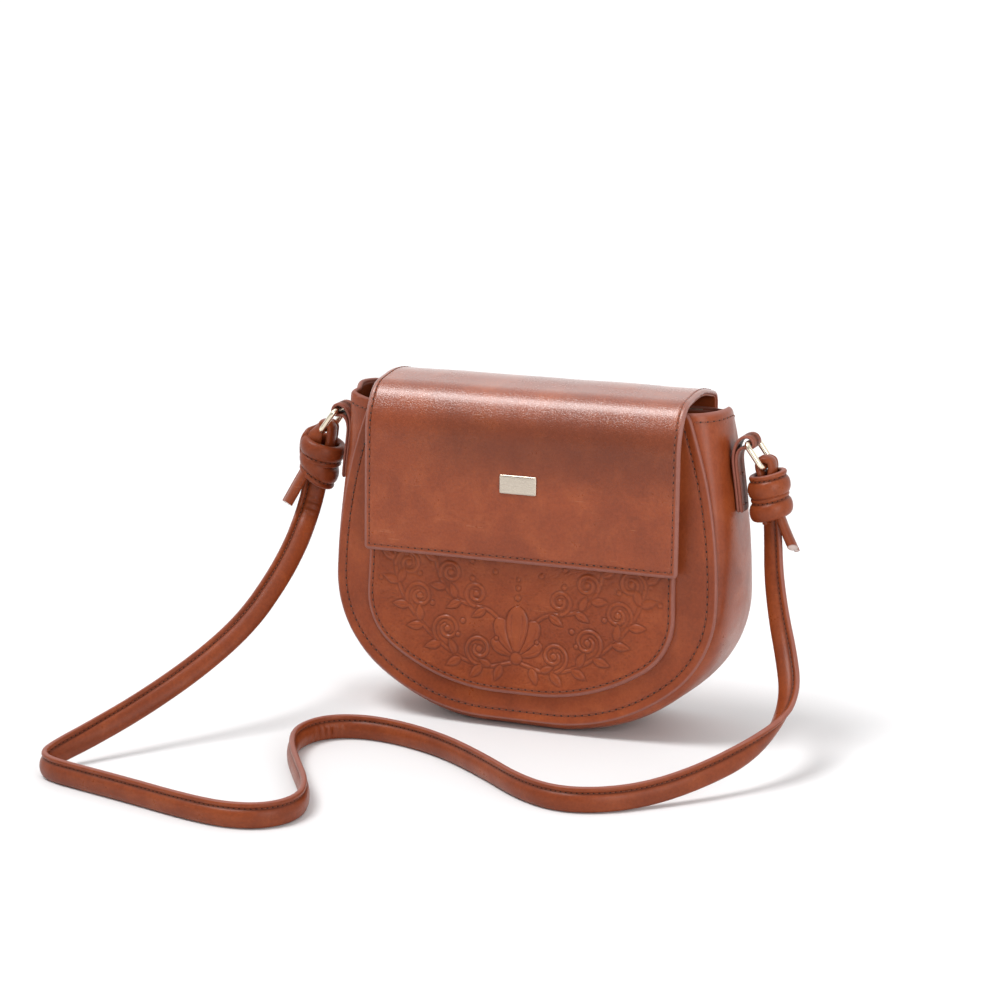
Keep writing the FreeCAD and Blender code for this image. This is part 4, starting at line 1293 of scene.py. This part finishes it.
def on_flap(x, s, depth, line):
    """Points of the flap from across, along and below its outer line."""
    at = line_lengths(line)
    ahead = unit(np.gradient(line, axis=0))
    y, z, ny, nz = (np.interp(s, at, a) for a in (line[:, 0], line[:, 1], ahead[:, 1], -ahead[:, 0]))
    return np.stack([x, y + ny * depth, z + nz * depth], -1)


def drift_at(x, s):
    """Soft unevenness of the flap, calm round the plate and the snap."""
    calm = (smooth_step(14, 30, np.hypot(x, s - PLATE_RISE))
            * smooth_step(12, 20, np.hypot(x, s - SNAP_RISE)))
    return 0.12 * calm * waves(x, s, 62.0, 41)


def plate_outline(inset):
    """Rounded rectangle of the metal plate, drawn in by an inset."""
    corner = min(inset, PLATE_CORNER - 0.1)
    turns = [np.linspace(start, start + 90, 7) for start in (0, 90, 180, 270)] + [[360]]
    turns = np.radians(np.concatenate(turns))
    middle = np.repeat(((1, 1), (-1, 1), (-1, -1), (1, -1), (1, 1)), (7, 7, 7, 7, 1), axis=0)
    return (middle * (PLATE_HALF - PLATE_CORNER - (inset - corner))
            + (PLATE_CORNER - corner) * np.stack([np.cos(turns), np.sin(turns)], -1))


HINGE = np.array((0.0, FLAP_REAR_Y, HINGE_HEIGHT))
FLAP_STEP, FLAP_CORNER, FLAP_LINING_CORNER = 1.6, 2.6, 2.2
SEAM_BEFORE_HINGE, SEAM_AFTER_HINGE = 7.0, 4.0
PLATE_EDGE = ((0.15, 0.0), (0.0, 0.08), (0.0, 0.52), (0.07, 0.67), (0.2, 0.81), (0.38, 0.91), (0.62, 0.97),
              (0.9, 1.0))


class HANDBAG_OT_flap(bpy.types.Operator):
    """Make the flap's outer leather with its sewn tail, its lining, its plate and its stitches"""
    bl_idname = "handbag.flap"
    bl_label = "Flap"

    def execute(self, context):
        line = flap_line()
        at = line_lengths(line)
        self.outer(line, at[-1])
        self.lining(line, at[-1])
        hinge_at = at[int(np.argmin(np.linalg.norm(line - HINGE[1:], axis=1)))]
        self.sew("flap_stitches", line, hinge_at - SEAM_BEFORE_HINGE, FLAP_SEAM, "flap")
        self.plate(line)
        self.sew("flap_tail_stitches", line, hinge_at + SEAM_AFTER_HINGE, at[-1] - FLAP_SEAM, "bag")
        return {"FINISHED"}

    def outer(self, line, length):
        """Outer leather: a rolled and grooved face and a plain back, joined at the edge."""
        u, s, edge = plate_grid(2 * FLAP_HALF, length, FLAP_STEP, FLAP_CORNER)
        x = u - FLAP_HALF
        drift = drift_at(x, s)
        upper = rolled(edge, (1.5, 1.02, 0.72, 0.42, 0.2, 0.06, 0.0, 0.0, 0.06, 0.26, 0.26, 0.04, 0.0))
        lower = FLAP_OUTER - rolled(edge, (0.9, 0.5, 0.25, 0.06, 0.0))
        face = on_flap(x, s, upper - drift, line)
        back = np.where((edge <= 0)[..., None], face, on_flap(x, s, lower - drift, line))
        paint = smooth_step(2.1, 1.5, edge)
        # A darker band on the front under the bend, weaker to the left; and painted shade in the sewn
        # groove
        under_bend_darkening = 0.6 * smooth_step(87, 70, s) * smooth_step(32, 62, s) * smooth_step(-80, -30, x)
        relief = 0.35 * bell(edge, FLAP_SEAM, 0.3) + under_bend_darkening
        polish = smooth_step(70, 82, s) * smooth_step(154, 140, s)
        faces = [(face, {"edge": paint, "relief": relief, "polish": polish}),
                 (back, {"edge": paint * (edge < 0.2), "relief": 0 * relief, "polish": 0 * polish})]
        obj = grid_piece("flap_outer_leather", faces, "waxed_flap",
                         ("flap_outer", "flap_tail"))
        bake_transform(obj)

    def lining(self, line, length):
        """Lining leather: two rolled faces, a margin smaller than the outer leather."""
        u, s, edge = plate_grid(2 * FLAP_HALF - 2 * LINING_MARGIN, length - 2 * LINING_MARGIN, FLAP_STEP,
                                FLAP_LINING_CORNER)
        x, s = u - FLAP_HALF + LINING_MARGIN, s + LINING_MARGIN
        roll, drift = rolled(edge, (0.5, 0.28, 0.1, 0.0)), drift_at(x, s)
        top = on_flap(x, s, FLAP_OUTER + roll - 0.02 - drift, line)
        under = on_flap(x, s, FLAP_OUTER + FLAP_LINING - roll - drift, line)
        under = np.where((edge <= 0)[..., None], top, under)
        obj = grid_piece("flap_lining_leather", [(top, PLAIN), (under, PLAIN)], "waxed_body",
                         ("flap_lining",))
        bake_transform(obj)

    def plate(self, line):
        """Bevelled metal plate on the flap: outlines drawn in along an edge profile to a pole."""
        rows = ring_rows(plate_outline, PLATE_EDGE, (0.0, 0.0), 3)
        grid = on_flap(rows[..., 0], rows[..., 1] + PLATE_RISE, 0.02 - rows[..., 2], line)
        grid_piece("front_plate_metal", [(grid, PLAIN)], "champagne", ("front_plate",), "flap")

    def sew(self, name, line, start, end, body):
        """Stitches from the start along one side to the end, across, and back along the other."""
        side = FLAP_HALF - FLAP_SEAM
        run = np.linspace(start, end, 120)
        across = np.linspace(-side, side, 160)[1:-1]
        x = np.concatenate([np.full_like(run, -side), across, np.full_like(run, side)])
        s = np.concatenate([run, np.full_like(across, end), run[::-1]])
        path = on_flap(x, s, 0.2, line)
        stitch_row(name, path, on_flap(x, s, -0.8, line) - path, body)


# Middle line of a tab out from the gusset's side, as (out, height): up, round the bar and down
TAB_LINE = ((2.7, 122), (2.7, 134), (2.7, 145), (3.1, 150.2), (4.5, 154.0), (6.8, 156.1), (9.0, 156.4),
            (11.2, 156.3), (13.1, 157.3), (13.6, 159.4), (12.6, 161.6), (10.4, 162.2), (7.4, 161.2),
            (4.8, 158.8), (2.8, 155.4), (1.6, 151.3), (1.1, 146), (1.1, 134), (1.1, 122))
TAB_STEP, TAB_CORNER, TAB_SEAMS, TAB_SEAM_INSET = 0.9, 2.4, (("a", 4.0), ("b", 20.0)), 1.4


class HANDBAG_OT_tabs(bpy.types.Operator):
    """Make the leather tabs, each one strip folded round its ring and sewn to the gusset"""
    bl_idname = "handbag.tabs"
    bl_label = "Tabs"

    def execute(self, context):
        path = through(TAB_LINE, 400)
        path[:, 0] += side_x(path[:, 1], 1.0, 0.0)
        path = evened(path, 400)
        at = line_lengths(path)
        ahead = unit(np.gradient(path, axis=0))
        away = np.stack([ahead[:, 1], -ahead[:, 0]], -1)
        u, s, edge = plate_grid(2 * TAB_HALF + 2 * TAB_MARGIN, at[-1], TAB_STEP, TAB_CORNER)
        roll = rolled(edge, (0.8, 0.42, 0.22, 0.08, 0.0))
        fields = {"edge": smooth_step(0.9, 0.4, edge)}
        across = np.linspace(-TAB_HALF + TAB_SEAM_INSET, TAB_HALF - TAB_SEAM_INSET, 30)

        def placed(stop, y, depth):
            """Points of the right tab along, across and out of its middle line."""
            x, z = (np.interp(stop, at, path[:, k]) + depth * np.interp(stop, at, away[:, k])
                    for k in (0, 1))
            return np.stack(np.broadcast_arrays(x, y, z), -1)

        for name, sign in SIDES:
            flip = (sign, 1, 1)
            faces = [(placed(s, u - TAB_HALF - TAB_MARGIN, face * (TAB_LAYER / 2 - roll)) * flip, fields)
                     for face in (1, -1)]
            grid_piece(name + "_tab_leather", faces, "matt_tab", (name + "_tab",), "bag")
            for label, stop in TAB_SEAMS:
                seam, above = (placed(stop, across, depth) * flip for depth in (0.8, 1.8))
                stitch_row("%s_tab_stitches_%s" % (name, label), seam, above - seam, "bag")
        return {"FINISHED"}


class HANDBAG_OT_rings(bpy.types.Operator):
    """Make the two wire rings, rounded rectangles hung from the tabs"""
    bl_idname = "handbag.rings"
    bl_label = "Rings"

    def execute(self, context):
        side, top, low = RING_HALF - RING_BEND, -RING_BEND, -RING_LENGTH + RING_BEND
        corners = ((180, -side, low), (270, side, low), (0, side, top), (90, -side, top))
        loop = []
        for start, cy, cz in corners:
            turn = np.radians(np.linspace(start, start + 90, 11))
            loop.append(np.stack([cy + RING_BEND * np.cos(turn), cz + RING_BEND * np.sin(turn)], -1))
        loop = np.concatenate(loop + [loop[0][:1]])
        loop = evened(loop, 121)
        turn = np.linspace(0, 2 * math.pi, 19)
        wire = RING_WIRE * np.stack([np.cos(turn), np.sin(turn)], -1)
        path = BAR + loop[:, :1] * (0, 1, 0) - loop[:, 1:] * RING_DOWN
        face = np.array((math.cos(RING_TILT), 0, math.sin(RING_TILT)))
        grid, _, _ = sweep_rows(path, np.broadcast_to(face, path.shape), wire, loop=True)
        for name, sign in SIDES:
            grid_piece(name + "_ring_wire", [(grid * (sign, 1, 1), PLAIN)], "pale_gold",
                       (name + "_ring",), name + "_ring_body")
        return {"FINISHED"}


# Knots by their points (down, outward, across) below the ring. The axes (outward, across) are
# those of the loop's width; a wrap is (place, radius, lean, turn of the lean, side of its flange).
ARCH = [(-3.6 * math.cos(t), 3.6 * math.sin(t), 0) for t in np.radians((-60, -30, 0, 30, 60))]
KNOTS = {
    "right": {
        "tilt": math.radians(7.0),
        "wraps": {"upper": (9.8, 8.4, 7.5, 200.0, 1), "lower": (21.2, 8.6, 9.0, 205.0, 1)},
        "loop": [(30, -2.4, 0), (13, -2.6, 0), (5, -2.6, 0), (1, -3.4, 0), *ARCH,
                 (1, 3.4, 0), (5, 2.6, 0), (13, 2.6, 0), (24, 2.6, 0)],
        "loop_axes": ((0, 1),) * 13,
        "tail": ((21, 3.5, -1), (30, 6.2, -2), (37, 8.6, -2.6), (43.5, 11.0, -3)),
        "tail_axis": (-0.15, 0.98),
    },
    "left": {
        "tilt": math.radians(14.0),
        "wraps": {"upper": (12.4, 10.0, 4.0, 200.0, -1), "lower": (22.6, 8.8, 23.0, 172.0, -1)},
        "loop": [(30, -3.0, 0), (13, -4.0, 0), (5, -4.0, 0), (0, -3.6, 0), *ARCH,
                 (1, 4.2, -1.4), (5, 5.6, -3.8), (11, 5.8, -4.6), (24, 4.0, -2.5)],
        "loop_axes": ((0, 1),) * 8 + ((0.3, 0.95), (0.6, 0.75), (0.95, 0.2), (1, -0.1), (0.9, 0.1)),
        "tail": ((21, 4.0, -4), (30, 6.6, -5.6), (38, 8.8, -6.4), (46, 11.0, -7.0)),
        "tail_axis": (0.6, 0.8),
    },
}

# Sizes of the strap in a knot, as shares of its width and thickness, and where a tail's seam shows
LOOP_SIZE, WRAP_SIZE, TAIL_SIZE = (0.92, 0.78), (0.94, 1.0), (0.9, 0.9)
TAIL_SEAM, TAIL_SLANT, TAIL_CORE = slice(18, 53), 0.45, ((0.3,), (0.8,), (1.0,))


class HANDBAG_OT_knots(bpy.types.Operator):
    """Make the knots: a loop over each ring, two wraps round it and a cut tail"""
    bl_idname = "handbag.knots"
    bl_label = "Knots"

    def execute(self, context):
        for side, sign in SIDES:
            self.knot(side, np.array((sign, 1, 1)), **KNOTS[side])
        return {"FINISHED"}

    def knot(self, side, flip, tilt, wraps, loop, loop_axes, tail, tail_axis):
        """One knot in its own frame of down, outward and across, mirrored for the left side."""
        down = np.array((math.sin(tilt), 0, -math.cos(tilt)))
        axes = np.stack([down, (math.cos(tilt), 0, math.sin(tilt)), (0.0, 1.0, 0.0)])
        profile, fields, seam, rise = strap_profile()

        def piece(name, grid, fields):
            """Strip of the strap that rides on the ring."""
            name = "%s_%s" % (side, name)
            grid_piece(name + "_leather", [(grid * flip, fields)], "padded_strap",
                       (name,), side + "_ring_body")

        def sew(name, path, normals):
            """Fine stitches that ride on the ring."""
            stitch_row("%s_%s" % (side, name), path * flip, normals * flip, side + "_ring_body",
                       fine=FINE_SEWING)

        path = KNOT_TOP + through(loop, 200) @ axes
        across = through([(0.0, out, deep) for out, deep in loop_axes], 200) @ axes
        piece("knot_loop", sweep_rows(path, across, profile * LOOP_SIZE)[0], fields)
        turn = np.linspace(0, 2 * math.pi, 97)
        for label, (place, radius, lean, lean_turn, flange) in wraps.items():
            lift = radius * math.tan(math.radians(lean)) * np.cos(turn - math.radians(lean_turn))
            path = np.stack([place + lift, radius * np.cos(turn), radius * np.sin(turn)], -1)
            path = path @ axes + KNOT_TOP
            across = np.broadcast_to(-flange * down, path.shape)
            grid, wide, thick = sweep_rows(path, across, profile * WRAP_SIZE, loop=True)
            piece("knot_%s_wrap" % label, grid, fields)
            face = np.sign(np.sum(thick * (path - KNOT_TOP - place * down), 1))[:, None]
            sew("knot_%s_wrap_stitches" % label,
                path + seam * WRAP_SIZE[0] * wide + face * thick * rise, face * thick)
        path = KNOT_TOP + through(tail, 60) @ axes
        across = np.broadcast_to(np.array((0.0, *tail_axis)) @ axes, path.shape)
        grid, wide, thick = sweep_rows(path, across, profile * TAIL_SIZE)
        count = len(grid)
        core = np.zeros((count, 1))
        core[-3:] = TAIL_CORE
        slant = TAIL_SLANT * smooth_step(count - 14, count - 4, np.arange(count))[:, None, None]
        grid = grid + slant * (grid - grid.mean(1)[:, None])[..., 1:2] * unit(path[-1] - path[-2])
        piece("strap_tail", grid, dict(fields, core=core))
        for label, face in (("a", 1), ("b", -1)):
            line = path + seam * TAIL_SIZE[0] * wide + face * TAIL_SIZE[1] * rise * thick
            sew("strap_tail_stitches_" + label, line[TAIL_SEAM], face * thick[TAIL_SEAM])


CAD_FINISHES = {
    "pale_gold": ("snap_socket", "snap_stud"),
    "steel": ("plate_washer", "snap_socket_washer", "snap_stud_washer"),
    "stiffening_board": ("front_board", "back_board", "flap_board"),
}


class HANDBAG_OT_hardware(bpy.types.Operator):
    """Finish the snap, the washers and the boards"""
    bl_idname = "handbag.hardware"
    bl_label = "Hardware and boards"

    def execute(self, context):
        for finish, names in CAD_FINISHES.items():
            for name in names:
                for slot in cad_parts[name].material_slots:
                    slot.material = material(finish)
        return {"FINISHED"}


OPERATORS = (HANDBAG_OT_stage, HANDBAG_OT_strap, HANDBAG_OT_panels, HANDBAG_OT_gusset,
             HANDBAG_OT_inside, HANDBAG_OT_pocket, HANDBAG_OT_flap, HANDBAG_OT_tabs, HANDBAG_OT_rings,
             HANDBAG_OT_knots, HANDBAG_OT_hardware)
GROUPS = {"handbag_leather": HANDBAG_PG_leather, "handbag_sewing": HANDBAG_PG_sewing,
          "handbag_strap": HANDBAG_PG_strap, "handbag_stage": HANDBAG_PG_stage}


class HANDBAG_PT_pieces(bpy.types.Panel):
    """Colours, sizes and pieces of the handbag"""
    bl_idname = "HANDBAG_PT_pieces"
    bl_label = "Saddle handbag"
    bl_space_type = "VIEW_3D"
    bl_region_type = "UI"
    bl_category = "Handbag"

    def draw(self, context):
        for name in GROUPS:
            group = getattr(context.scene, name)
            for key in group.__annotations__:
                self.layout.prop(group, key)
        for operator in OPERATORS:
            self.layout.operator(operator.bl_idname)


CLASSES = (*GROUPS.values(), *OPERATORS, HANDBAG_PT_pieces)


def register():
    """Register the classes and hang the property groups on the scene."""
    for made in CLASSES:
        bpy.utils.register_class(made)
    for name, group in GROUPS.items():
        setattr(bpy.types.Scene, name, PointerProperty(type=group))


def unregister():
    """Take the property groups off the scene and unregister the classes."""
    for name in GROUPS:
        delattr(bpy.types.Scene, name)
    for made in reversed(CLASSES):
        bpy.utils.unregister_class(made)


def main():
    """Make every piece in order."""
    register()
    for operator in OPERATORS:
        getattr(bpy.ops.handbag, operator.bl_idname.split(".")[1])()


if __name__ == "__main__":
    main()
